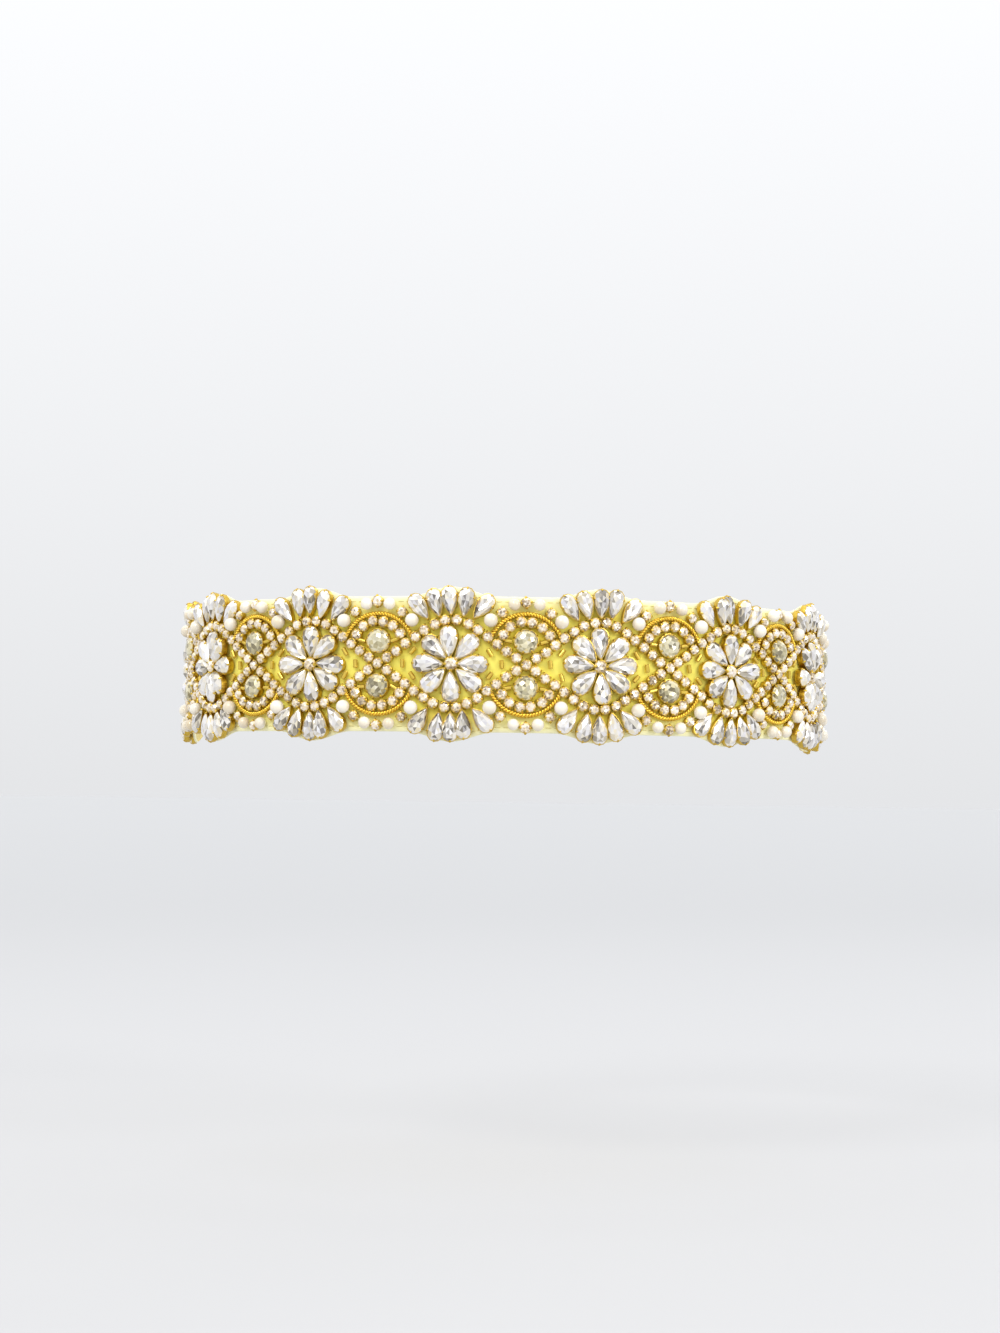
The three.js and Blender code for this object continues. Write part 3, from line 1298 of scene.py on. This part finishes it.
@dataclass
class Scroll(SashPart):
    """The crossing stone chains, with an arc of stones and a twisted cord at each crossing."""

    chaton_pitch: float = 4.35
    chaton_size: float = 1.06
    arc_radius: float = 10.2
    arc_middle: float = 5.8
    arc_angles: tuple[float, ...] = (11.8, 35.3, 58.5)
    cord_radius: float = 14.0
    cord_middle: float = 5.0
    cord_angle: float = 68.0
    cord_gap: float = 0.35
    cord_steps: int = 168
    strand_radius: float = 0.5
    strand_sides: int = 6
    twist_length: float = 2.4
    wave_steps: int = 400

    def build(self) -> None:
        """Makes the chains, the arcs and the cords."""
        chain = Jewels("chain", CHATON, self.band.waist, seed=41, wander=0.07)
        self._sew_waves(chain)
        for along, side, angle, mirror in product(self.band.crossings, Side, self.arc_angles, HALVES):
            lean = mirror * math.radians(angle)
            up = self.arc_middle + self.arc_radius * math.cos(lean)
            across = self.arc_radius * math.sin(lean)
            chain.sew(along + across, side.value * up, -side.value * lean, self.chaton_size)
        chain.build(self.finishes.chaton, self.finishes.gold, ["chain_scroll"])
        settle(self._cords())

    def _sew_waves(self, chain: Jewels) -> None:
        """Sews the two chains that swing over and under the flowers.

        Args:
            chain: The stones that they are made of.
        """
        half = self.band.pitch / 2
        fine = np.linspace(0.0, half, self.wave_steps)
        height = self.band.chain(fine)
        run = lengths_along(np.stack([fine, height], 1))
        count = round(run[-1] / self.chaton_pitch - 0.5)
        pitch = run[-1] / (count + 0.5)
        places = np.interp((np.arange(count) + 0.5) * pitch, run, fine)
        slopes = np.gradient(height, fine)
        for along, mirror, side, place in product(self.band.flowers, HALVES, Side, places):
            heading = math.atan(mirror * side.value * float(np.interp(place, fine, slopes)))
            up = side.value * float(np.interp(place, fine, height))
            chain.sew(along + mirror * place, up, heading, self.chaton_size)
        ends = [self.band.flowers[0] - half, self.band.flowers[-1] + half]
        for along in [*self.band.crossings, *ends]:
            chain.sew(along, 0.0, CHATON_TURN, self.chaton_size)

    def _cords(self) -> bpy.types.Object:
        """Twists two strands into each gold cord.

        Returns:
            All the cords as one piece.
        """
        angle = np.radians(np.linspace(-self.cord_angle, self.cord_angle, self.cord_steps + 1))
        twist = 2 * math.pi * self.cord_radius * angle / self.twist_length
        paths = []
        for along, side, strand in product(self.band.crossings, Side, (0.0, math.pi)):
            radius = self.cord_radius + self.strand_radius * np.cos(twist + strand)
            across = along + radius * np.sin(angle)
            up = side.value * (self.cord_middle + radius * np.cos(angle))
            out = self.cord_gap + self.strand_radius * (2 + np.sin(twist + strand))
            paths.append(self.band.waist.wrap(np.stack([across, up, out], 1)))
        size = (self.strand_radius, self.strand_sides)
        return strands("gold_cords", paths, *size, self.finishes.cord)


class BeadKind(Enum):
    """What a bead of a string is."""

    PEARL = "pearl"
    CHATON = "chaton"


@dataclass(frozen=True)
class Bead:
    """One bead of half a string: its place, its radius and its kind."""

    across: float
    up: float
    radius: float
    kind: BeadKind


@dataclass
class BeadStrings(SashPart):
    """Pearls and chatons in turn, over and under the eyes and round the pointed ends."""

    garland: tuple[Bead, ...] = (
        Bead(0.0, 23.3, 2.2, BeadKind.CHATON),
        Bead(4.7, 22.5, 2.3, BeadKind.PEARL),
        Bead(9.3, 19.6, 2.1, BeadKind.CHATON),
        Bead(13.3, 16.3, 2.6, BeadKind.PEARL),
    )
    end: tuple[Bead, ...] = (
        Bead(32.6, 0.0, 2.6, BeadKind.PEARL),
        Bead(28.6, 5.4, 2.1, BeadKind.CHATON),
        Bead(24.1, 9.6, 2.3, BeadKind.PEARL),
        Bead(19.5, 13.4, 2.1, BeadKind.CHATON),
        Bead(14.7, 16.3, 2.6, BeadKind.PEARL),
    )
    pearl_segments: tuple[int, int] = (22, 14)
    chaton_radius: float = 2.05
    thread_radius: float = 0.16
    thread_sides: int = 4
    thread_steps: int = 6
    thread_height: float = 0.8
    wander: float = 0.12
    size_spread: float = 0.025
    seed: int = 52

    def build(self) -> None:
        """Makes the pearls, the chatons and the thread that joins them."""
        waist = self.band.waist
        pearls = Cluster("garland_pearls")
        chatons = Jewels("garland", CHATON, waist, seed=51)
        shape = bmesh.new()
        around, over = self.pearl_segments
        bmesh.ops.create_uvsphere(shape, u_segments=around, v_segments=over, radius=1.0)
        sphere = Form.of(shape).in_order()
        threads = []
        for beads in self._strings():
            threads.append(waist.wrap(self._thread(beads)))
            for bead in beads:
                if bead.kind is BeadKind.PEARL:
                    place = waist.place(bead.across, bead.up, CLOTH_GAP + bead.radius)
                    pearls.add(sphere, place @ Matrix.Scale(bead.radius, 4))
                else:
                    chatons.sew(bead.across, bead.up, CHATON_TURN, bead.radius / self.chaton_radius)
        nodes = [f"garland_{side.word}_{i + 1}" for side in Side for i in range(len(self.band.crossings))]
        nodes += ["end_beads_left", "end_beads_right"]
        settle(pearls.build(self.finishes.pearl, smooth_angle=180.0), nodes)
        chatons.build(self.finishes.chaton, self.finishes.gold)
        size = (self.thread_radius, self.thread_sides)
        settle(strands("bead_threads", threads, *size, self.finishes.thread))

    def _strings(self) -> list[list[Bead]]:
        """Lays out every string.

        Returns:
            The beads of each string, in order and in their places on the band.
        """
        rng = np.random.default_rng(self.seed)
        strings = []
        for side, along in product(Side, self.band.crossings):
            left = [self._sewn(bead, along, -1, side.value, rng) for bead in self.garland[:0:-1]]
            right = [self._sewn(bead, along, 1, side.value, rng) for bead in self.garland]
            strings.append(left + right)
        for mirror, along in ((-1, self.band.flowers[0]), (1, self.band.flowers[-1])):
            lower = [self._sewn(bead, along, mirror, -1, rng) for bead in self.end[:0:-1]]
            upper = [self._sewn(bead, along, mirror, 1, rng) for bead in self.end]
            strings.append(lower + upper)
        return strings

    def _sewn(self, bead: Bead, along: float, mirror: int, side: int, rng: np.random.Generator) -> Bead:
        """A bead of a half string at its place on the band, a little out of true as by hand.

        Args:
            bead: The bead of the half string.
            along: The string's middle along the band.
            mirror: 1 or -1 for the right or the left half.
            side: 1 or -1 for the upper or the lower half of the band.
            rng: The random draws.

        Returns:
            The bead in its place.
        """
        off_along, off_up = rng.normal(0.0, self.wander, 2)
        radius = bead.radius * (1 + rng.normal(0.0, self.size_spread))
        return Bead(along + mirror * bead.across + off_along, side * bead.up + off_up, radius, bead.kind)

    def _thread(self, beads: Sequence[Bead]) -> np.ndarray:
        """The thread through a string's beads, with points close enough to bend round the waist.

        Args:
            beads: The string's beads, in order.

        Returns:
            Rows of along, up and out.
        """
        knots = np.array([(b.across, b.up, CLOTH_GAP + self.thread_height * b.radius) for b in beads])
        places = np.linspace(0, len(knots) - 1, self.thread_steps * len(knots))
        return points_on(knots, np.arange(len(knots)), places)


@dataclass
class Bugles(SashPart):
    """Short gold bugle beads beside the flowers and the eye stones."""

    length: float = 3.2
    radius: float = 0.85
    sides: int = 10
    rim: float = 0.16
    wall: float = 0.18
    hole_depth: float = 0.3
    cap_facing: float = 0.99
    flower_rows: tuple[tuple[float, float], ...] = ((18.8, 0.0), (15.2, 17.5), (15.2, -17.5))
    eye_across: float = 6.6
    eye_up: float = 8.9
    eye_tilt: float = 12.0
    flower_tilt: float = 2.2
    wander: float = 0.16
    sway: float = 8.0
    seed: int = 61

    def build(self) -> None:
        """Makes all the bugles as one piece."""
        places = []
        for along, mirror, (radius, angle) in product(self.band.flowers, HALVES, self.flower_rows):
            lean = math.radians(angle)
            across = mirror * radius * math.cos(lean)
            turn = math.pi / 2 + mirror * self.flower_tilt * lean
            places.append((along + across, radius * math.sin(lean), turn))
        for along, side, mirror in product(self.band.crossings, Side, HALVES):
            turn = side.value * mirror * math.radians(self.eye_tilt)
            places.append((along + mirror * self.eye_across, side.value * self.eye_up, turn))
        form = self._form()
        rng = np.random.default_rng(self.seed)
        bugles = Cluster("gold_bugles")
        for along, up, turn in places:
            off_along, off_up = rng.normal(0.0, self.wander, 2)
            turn += math.radians(rng.normal(0.0, self.sway))
            out = CLOTH_GAP + self.radius
            bugles.add(form, self.band.waist.place(along + off_along, up + off_up, out, turn))
        settle(bugles.build(self.finishes.bugle, SHARP_ANGLE))

    def _form(self) -> Form:
        """Makes one bugle: a tube with softened rims, lying along X.

        Returns:
            The bugle.
        """
        shape = bmesh.new()
        lie = Matrix.Rotation(math.pi / 2, 4, "Y")
        bmesh.ops.create_cone(
            shape,
            cap_ends=True,
            segments=self.sides,
            radius1=self.radius,
            radius2=self.radius,
            depth=self.length,
            matrix=lie,
        )
        rims = [e for e in shape.edges if abs(e.verts[0].co.x - e.verts[1].co.x) < self.rim]
        bmesh.ops.bevel(
            shape, geom=rims, offset=self.rim, affect="EDGES", segments=1, profile=0.5, material=-1
        )
        caps = [face for face in shape.faces if abs(face.normal.x) > self.cap_facing]
        bmesh.ops.inset_individual(shape, faces=caps, thickness=self.wall, depth=-self.hole_depth)
        return Form.of(shape).in_order()


# Cloth


@dataclass(frozen=True)
class Crease:
    """A soft trough or ridge in cloth: its middle, its size, its height and its slant in degrees."""

    along: float
    up: float
    length: float
    width: float
    height: float
    slant: float

    def lift(self, along: np.ndarray, up: np.ndarray) -> np.ndarray:
        """How far the crease lifts the cloth.

        Args:
            along: Places along the band.
            up: Their heights.

        Returns:
            The lift at each place.
        """
        cos, sin = math.cos(math.radians(self.slant)), math.sin(math.radians(self.slant))
        run = (along - self.along) * cos + (up - self.up) * sin
        across = (up - self.up) * cos - (along - self.along) * sin
        return self.height * np.exp(-((run / self.length) ** 2) - (across / self.width) ** 2)


def cloth(
    name: str,
    waist: Waist,
    flat: np.ndarray,
    tones: Mapping[str, np.ndarray],
    thickness: float,
    faces: tuple[bpy.types.Material, bpy.types.Material],
) -> bpy.types.Object:
    """A thin cloth shell from a grid of flat points.

    Args:
        name: The piece's name.
        waist: The waist it goes round.
        flat: Its outer face, as columns by rows of along, up and out.
        tones: What the finish reads at each point, from 0 to 1, by name.
        thickness: The cloth's thickness, in millimetres.
        faces: The finishes of its right side and of its inner side.

    Returns:
        The shell.
    """
    grid = (flat.shape[0] - 1, flat.shape[1] - 1)
    shape = bmesh.new()
    bmesh.ops.create_grid(shape, x_segments=grid[0], y_segments=grid[1], size=1.0)
    # The new grid runs from -1 to 1 both ways.
    columns = np.array([round((v.co.x + 1) / 2 * grid[0]) for v in shape.verts])
    rows = np.array([round((v.co.y + 1) / 2 * grid[1]) for v in shape.verts])
    points = flat[columns, rows]
    cut = shape.loops.layers.uv.new("cut")
    shape.verts.index_update()
    for vert, place in zip(shape.verts, waist.wrap(points)):
        vert.co = place
    for face in shape.faces:
        face.smooth = True
        for loop in face.loops:
            loop[cut].uv = points[loop.vert.index, :2] * MM
    mesh = bpy.data.meshes.new(name)
    shape.to_mesh(mesh)
    shape.free()
    for tone, values in tones.items():
        layer = mesh.attributes.new(tone, "FLOAT", "POINT")
        layer.data.foreach_set("value", values[columns, rows].astype(np.float32))
    for finish in faces:
        mesh.materials.append(finish)
    piece = link(bpy.data.objects.new(name, mesh))
    wall = piece.modifiers.new("thickness", "SOLIDIFY")
    wall.thickness = thickness * MM
    wall.offset = -1.0
    wall.material_offset = 1
    return piece


@dataclass
class FrontPanel(SashPart):
    """The cloth ground of the beadwork, with its scalloped edge and pointed ends."""

    thickness: float = 1.1
    cells: tuple[int, int] = (310, 30)
    hem: float = 1.4
    hem_drop: float = 0.55
    fade: float = 8.5
    fade_power: float = 1.3
    pucker: float = 0.16
    pucker_rate: tuple[float, float] = (0.11, 0.16)
    pucker_layer: float = 3.0
    stitch_pull: float = 0.22
    stitch_width: float = 2.5
    # How much painted shade each place gets: in the eyes, by the flowers' middles, under the chains and
    # between the fan stones.
    eye_dye: float = 0.95
    eye_middle: float = 10.0
    eye_half: tuple[float, float] = (10.0, 6.5)
    flower_dye: float = 0.9
    flower_radius: float = 8.5
    chain_dye: float = 0.6
    chain_half: float = 2.4
    fan_dye: float = 0.35
    fan_middle: float = 22.0
    fan_half: tuple[float, float] = (12.5, 5.5)

    def build(self) -> None:
        """Makes the panel."""
        band = self.band
        along = np.linspace(-band.reach, band.reach, self.cells[0] + 1)
        share = np.sin(0.5 * math.pi * np.linspace(-1.0, 1.0, self.cells[1] + 1))
        height = band.edge(along)
        up = height[:, None] * share[None, :]
        grid_along = np.repeat(along[:, None], self.cells[1] + 1, 1)
        inset = height[:, None] - np.abs(up)
        tones = {
            # Painted highlight: the cloth pales towards the panel's edge.
            "edge": np.clip(1 - inset / self.fade, 0.0, 1.0) ** self.fade_power,
            "painted_shade": self._depth(grid_along, up),
        }
        flat = np.stack([grid_along, up, self.surface(grid_along, up)], 2)
        faces = (self.finishes.panel, self.finishes.lining)
        panel = cloth("front_panel_cloth", band.waist, flat, tones, self.thickness, faces)
        settle(panel, ["front_panel"])
        size = (2 * float(height.max()) * MM, 2 * band.reach * MM)

    def _depth(self, along: np.ndarray, up: np.ndarray) -> np.ndarray:
        """How much painted shade darkens the cloth: in the eyes, by the flowers' middles, and under chains
        and fans, where shadow and warm bounce light fall between the raised pieces.

        Args:
            along: Places along the band.
            up: Their heights.

        Returns:
            The painted shade at each place, from 0 to 1.
        """
        height = np.abs(up)
        from_flower = self.band.from_flower(along)
        from_crossing = self.band.pitch / 2 - np.abs(from_flower)
        along_eye = from_crossing / self.eye_half[0]
        up_eye = (height - self.eye_middle) / self.eye_half[1]
        along_fan = from_flower / self.fan_half[0]
        up_fan = (height - self.fan_middle) / self.fan_half[1]
        from_chain = (height - self.band.chain(from_flower)) / self.chain_half
        shade_share = (
            self.eye_dye * np.exp(-(along_eye**4) - up_eye**4)
            + self.flower_dye * np.exp(-((np.hypot(from_flower, up) / self.flower_radius) ** 4))
            + self.chain_dye * np.exp(-(from_chain**2))
            + self.fan_dye * np.exp(-(along_fan**6) - up_fan**4)
        )
        return np.clip(shade_share, 0.0, 1.0)

    def surface(self, along: np.ndarray, up: np.ndarray) -> np.ndarray:
        """How far out the cloth is: hollow where the chains are sewn down, and rolled at the edge.

        Args:
            along: Places along the band.
            up: Their heights.

        Returns:
            The distance out at each place.
        """
        gap = np.abs(np.abs(up) - self.band.chain(self.band.from_flower(along)))
        pulled = -self.stitch_pull * np.exp(-((gap / self.stitch_width) ** 2))
        swell = np.vectorize(self._swell)(along, up)
        inset = self.band.edge(along) - np.abs(up)
        rolled = np.clip(1 - inset / self.hem, 0.0, 1.0) ** 2
        return pulled + self.pucker * swell - self.pucker - self.hem_drop * rolled

    def _swell(self, along: float, up: float) -> float:
        """How much the cloth puckers at a place, from -1 to 1."""
        rate_along, rate_up = self.pucker_rate
        return noise.noise(Vector((rate_along * along, rate_up * up, self.pucker_layer)))


@dataclass
class BackRibbons(SashPart):
    """Two plain ribbons from behind the panel's ends, the left one lapped over the right."""

    thickness: float = 0.8
    half_height: float = 19.0
    underlap: float = 22.0
    panel_depth: float = 1.7
    overlap: float = 40.0
    lift: float = 1.3
    ramp_length: float = 14.0
    ramp_lead: float = 3.0
    cells: tuple[int, int] = (130, 30)
    selvedge: float = 1.6
    selvedge_rise: float = 0.12
    selvedge_start: float = 0.05
    hem_length: float = 9.0
    hem_rise: float = 0.3
    hem_step: float = 0.8
    ease_below_panel: float = 4.0
    ease_past_panel: float = 8.0
    ease_before_lap: float = 20.0
    ease_past_edge: float = 5.0
    ease_at_edge: float = 8.0
    creases: tuple[Crease, ...] = (
        Crease(226.0, 9.0, 20.0, 2.3, -2.0, 12.0),
        Crease(231.0, -9.0, 24.0, 2.2, -2.1, -10.0),
        Crease(252.0, 2.0, 28.0, 2.5, 2.6, 3.0),
        Crease(261.0, 17.0, 8.0, 6.0, 1.5, 84.0),
        Crease(266.0, -5.0, 23.0, 2.0, -2.5, -6.0),
        Crease(279.0, 9.0, 31.0, 2.4, 2.4, 5.0),
        Crease(286.0, -17.0, 9.0, 7.0, -1.6, 95.0),
        Crease(293.0, -12.0, 25.0, 2.1, 2.0, -4.0),
        Crease(303.0, 1.0, 36.0, 2.7, -2.8, 3.0),
        Crease(311.0, 17.0, 7.0, 5.0, -1.5, 100.0),
        Crease(318.0, 11.0, 18.0, 1.8, -2.0, -8.0),
        Crease(328.0, -6.0, 28.0, 2.3, 2.5, 6.0),
        Crease(336.0, -17.0, 8.0, 6.0, 1.5, 82.0),
        Crease(341.0, 5.0, 20.0, 1.9, -2.1, -5.0),
        Crease(346.0, -13.0, 15.0, 1.7, -1.6, 5.0),
    )

    @property
    def lap_start(self) -> float:
        """How far round, from the middle of the front, the ribbons start to lap."""
        return self.band.waist.length / 2 - self.overlap / 2

    @property
    def end(self) -> float:
        """How far round each ribbon ends."""
        return self.band.waist.length / 2 + self.overlap / 2

    def build(self) -> None:
        """Makes both ribbons."""
        for word, side, on_top in (("left", -1, True), ("right", 1, False)):
            self._ribbon(word, side, on_top)

    def _ribbon(self, word: str, side: int, on_top: bool) -> None:
        """Makes one ribbon.

        Args:
            word: Left or right.
            side: The way it runs along the band, -1 or 1.
            on_top: Whether it lies over the other at the back.
        """
        start = self.band.reach - self.underlap
        columns = np.linspace(start, self.end, self.cells[0] + 1)[::side]
        rows = self.half_height * np.sin(0.5 * math.pi * np.linspace(-1, 1, self.cells[1] + 1))
        reach, up = np.meshgrid(columns, rows, indexing="ij")
        edge = np.clip(1.0 - (self.half_height - np.abs(up)) / self.selvedge, 0.0, 1.0)
        out = self._folds(reach, up, side) + self.selvedge_rise * (edge > self.selvedge_start)
        if on_top:
            out = out + self._lap(reach)
        flat = np.stack([side * reach, up, out - self.panel_depth], 2)
        tones = {"edge": edge, "painted_shade": np.zeros_like(edge)}
        faces = (self.finishes.ribbon, self.finishes.lining)
        ribbon = cloth(f"ribbon_{word}", self.band.waist, flat, tones, self.thickness, faces)
        settle(ribbon, [f"back_ribbon_{word}"])
        2 * self.half_height * MM
        (self.end - start) * MM

    def _folds(self, reach: np.ndarray, up: np.ndarray, side: int) -> np.ndarray:
        """How far the creases lift a ribbon, which lies calm behind the panel and at the lap.

        Args:
            reach: How far round each point is.
            up: Its height.
            side: The way the ribbon runs along the band, -1 or 1.

        Returns:
            The lift at each point.
        """
        below_panel = (np.abs(up) - self.band.edge(reach)) / self.ease_below_panel
        past_panel = (reach - self.band.reach) / self.ease_past_panel
        before_lap = (self.lap_start - reach) / self.ease_before_lap
        inside = (self.half_height - np.abs(up) + self.ease_past_edge) / self.ease_at_edge
        eases = (np.maximum(below_panel, past_panel), before_lap, inside)
        free = np.prod([np.clip(ease, 0.0, 1.0) for ease in eases], axis=0)
        return free * sum(crease.lift(reach, side * up) for crease in self.creases)

    def _lap(self, reach: np.ndarray) -> np.ndarray:
        """How far the upper ribbon rises over the lower one, and at its hem.

        Args:
            reach: How far round each point is.

        Returns:
            The rise at each point.
        """
        ramp_end = self.lap_start - self.ramp_lead
        share = np.clip((reach - ramp_end + self.ramp_length) / self.ramp_length, 0.0, 1.0)
        into_hem = np.clip((reach - self.end + self.hem_length) / self.hem_step, 0.0, 1.0)
        return self.lift * share * share * (3 - 2 * share) + self.hem_rise * into_hem


@dataclass
class Stitches(SashPart):
    """Running stitches inside the panel's edge and in the hem of the upper ribbon."""

    panel: FrontPanel
    ribbons: BackRibbons
    inset: float = 1.9
    length: float = 2.3
    pitch: float = 3.2
    radius: float = 0.15
    sides: int = 4
    panel_gap: float = 2.0
    panel_steps: int = 2000
    hem_inset: float = 7.6
    hem_gap: float = 1.0
    hem_steps: int = 400
    arch: tuple[tuple[float, float], ...] = (
        (0.0, -0.12),
        (0.15, 0.06),
        (0.5, 0.12),
        (0.85, 0.06),
        (1.0, -0.12),
    )

    def build(self) -> None:
        """Makes all the stitches as one piece."""
        reach = self.band.reach - self.panel_gap
        along = np.linspace(-reach, reach, self.panel_steps)
        paths = []
        for side in Side:
            up = side.value * (self.band.edge(along) - self.inset)
            line = np.stack([along, up, self.panel.surface(along, up)], 1)
            paths += self._run(line)
        hem = self.hem_inset - self.ribbons.end
        top = self.ribbons.half_height - self.hem_gap
        up = np.linspace(-top, top, self.hem_steps)
        out = self.ribbons.lift + self.ribbons.hem_rise - self.ribbons.panel_depth
        paths += self._run(np.stack([np.full_like(up, hem), up, np.full_like(up, out)], 1))
        size = (self.radius, self.sides)
        settle(strands("stitches", paths, *size, self.finishes.thread))

    def _run(self, line: np.ndarray) -> list[np.ndarray]:
        """Evenly spaced stitches along a line of the flat pattern.

        Args:
            line: Rows of along, up and out.

        Returns:
            The points of each stitch, in metres.
        """
        run = lengths_along(line)
        shares, rises = np.array(self.arch).T
        stitches = []
        for start in np.arange(0.0, run[-1] - self.length, self.pitch):
            points = points_on(line, run, start + self.length * shares)
            points[:, 2] += rises
            stitches.append(self.band.waist.wrap(points))
        return stitches


# The studio


@dataclass(frozen=True)
class Lamp:
    """A soft rectangular lamp that points at the sash."""

    name: str
    place: tuple[float, float, float]
    size: tuple[float, float]
    power: float
    spread: float = 60.0

    def hang(self) -> None:
        """Puts the lamp into the scene."""
        light = bpy.data.lights.new(self.name, "AREA")
        light.shape = "RECTANGLE"
        light.size, light.size_y = self.size
        light.energy = self.power
        light.spread = math.radians(self.spread)
        lamp = link(bpy.data.objects.new(self.name, light))
        lamp.location = self.place
        lamp.rotation_euler = Vector(self.place).to_track_quat("Z", "Y").to_euler()


@dataclass(frozen=True)
class Studio:
    """The floor, the lamps, the sky and the photograph's camera."""

    floor_drop: float = 0.2
    floor_half: float = 40.0
    azimuth: float = -3.79
    elevation: float = -2.72
    roll: float = 0.83
    distance: float = 1.1
    aim: tuple[float, float] = (-0.0025, 0.0044)
    lens: float = 71.5
    sensor_width: float = 36.0
    clip_start: float = 0.01
    sky_colour: Colour = (0.97, 0.98, 1.0)
    sky_low: float = 0.81
    sky_rise: float = 0.72
    floor_paint: StudioFinish = StudioFinish(
        "pale_floor", near=(0.475, 0.475, 0.48), far=(0.60, 0.605, 0.61), fade_length=2.0
    )
    lamps: tuple[Lamp, ...] = (
        Lamp("key_lamp", (-1.8, -3.0, 2.6), (1.4, 1.4), 7.2),
        Lamp("fill_lamp", (2.4, -2.6, 1.4), (1.0, 2.0), 5.6),
        Lamp("top_lamp", (0.0, 0.3, 3.0), (2.0, 1.4), 1.6),
        Lamp("back_lamp", (2.4, 2.8, 2.0), (1.2, 1.2), 1.9),
    )

    def build(self) -> None:
        """Sets up the studio."""
        self._lay_floor()
        for lamp in self.lamps:
            lamp.hang()
        self._light_sky()
        self._set_camera()
        bpy.context.scene.view_settings.view_transform = "Standard"

    def _lay_floor(self) -> None:
        """Lays the pale floor."""
        shape = bmesh.new()
        level = Matrix.Translation((0.0, 0.0, -self.floor_drop))
        bmesh.ops.create_grid(shape, x_segments=4, y_segments=4, size=self.floor_half, matrix=level)
        mesh = bpy.data.meshes.new("studio_floor")
        shape.to_mesh(mesh)
        shape.free()
        mesh.materials.append(self.floor_paint.material())
        link(bpy.data.objects.new("studio_floor", mesh))

    def _light_sky(self) -> None:
        """Gives the room its soft light, brighter overhead."""
        shader = Shader(bpy.data.worlds.new("studio_sky"))
        way = shader.node("ShaderNodeTexCoord", output="Generated")
        height = shader.math("MAXIMUM", shader.node("ShaderNodeSeparateXYZ", {}, {0: way}, "Z"), 0.0)
        light = {"Color": (*self.sky_colour, 1.0), "Strength": height * self.sky_rise + self.sky_low}
        sky = shader.node("ShaderNodeBackground", {}, light)
        shader.node("ShaderNodeOutputWorld", {}, {"Surface": sky}, output=None)
        bpy.context.scene.world = shader.owner

    def _set_camera(self) -> None:
        """Puts the camera where the photograph was taken from."""
        turn, rise, roll = (math.radians(a) for a in (self.azimuth, self.elevation, self.roll))
        back = Vector((math.sin(turn) * math.cos(rise), -math.cos(turn) * math.cos(rise), math.sin(rise)))
        level = Vector((math.cos(turn), math.sin(turn), 0.0))
        upright = back.cross(level)
        right = level * math.cos(roll) + upright * math.sin(roll)
        camera = bpy.data.cameras.new("photo_camera")
        camera.lens = self.lens
        camera.sensor_width = self.sensor_width
        camera.clip_start = self.clip_start
        stand = link(bpy.data.objects.new("photo_camera", camera))
        pose = Matrix((right, back.cross(right), back)).transposed().to_4x4()
        pose.translation = level * self.aim[0] + upright * self.aim[1] + back * self.distance
        stand.matrix_world = pose
        bpy.context.scene.camera = stand


def main() -> None:
    """Builds the sash on its frame and sets up the studio."""
    logging.basicConfig(level=logging.INFO, format="%(name)s: %(message)s")
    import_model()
    low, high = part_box("front_panel")
    band = Band(Waist(half_width=high.x / MM, half_depth=-low.y / MM))
    finishes = Finishes.mix()
    panel = FrontPanel(band, finishes)
    ribbons = BackRibbons(band, finishes)
    stitches = Stitches(band, finishes, panel, ribbons)
    kinds = (Flowers, Fans, EyeStones, Scroll, BeadStrings, Bugles)
    beadwork = [kind(band, finishes) for kind in kinds]
    for part in (panel, ribbons, stitches, *beadwork):
        part.build()
    Studio().build()


if __name__ == "__main__":
    main()
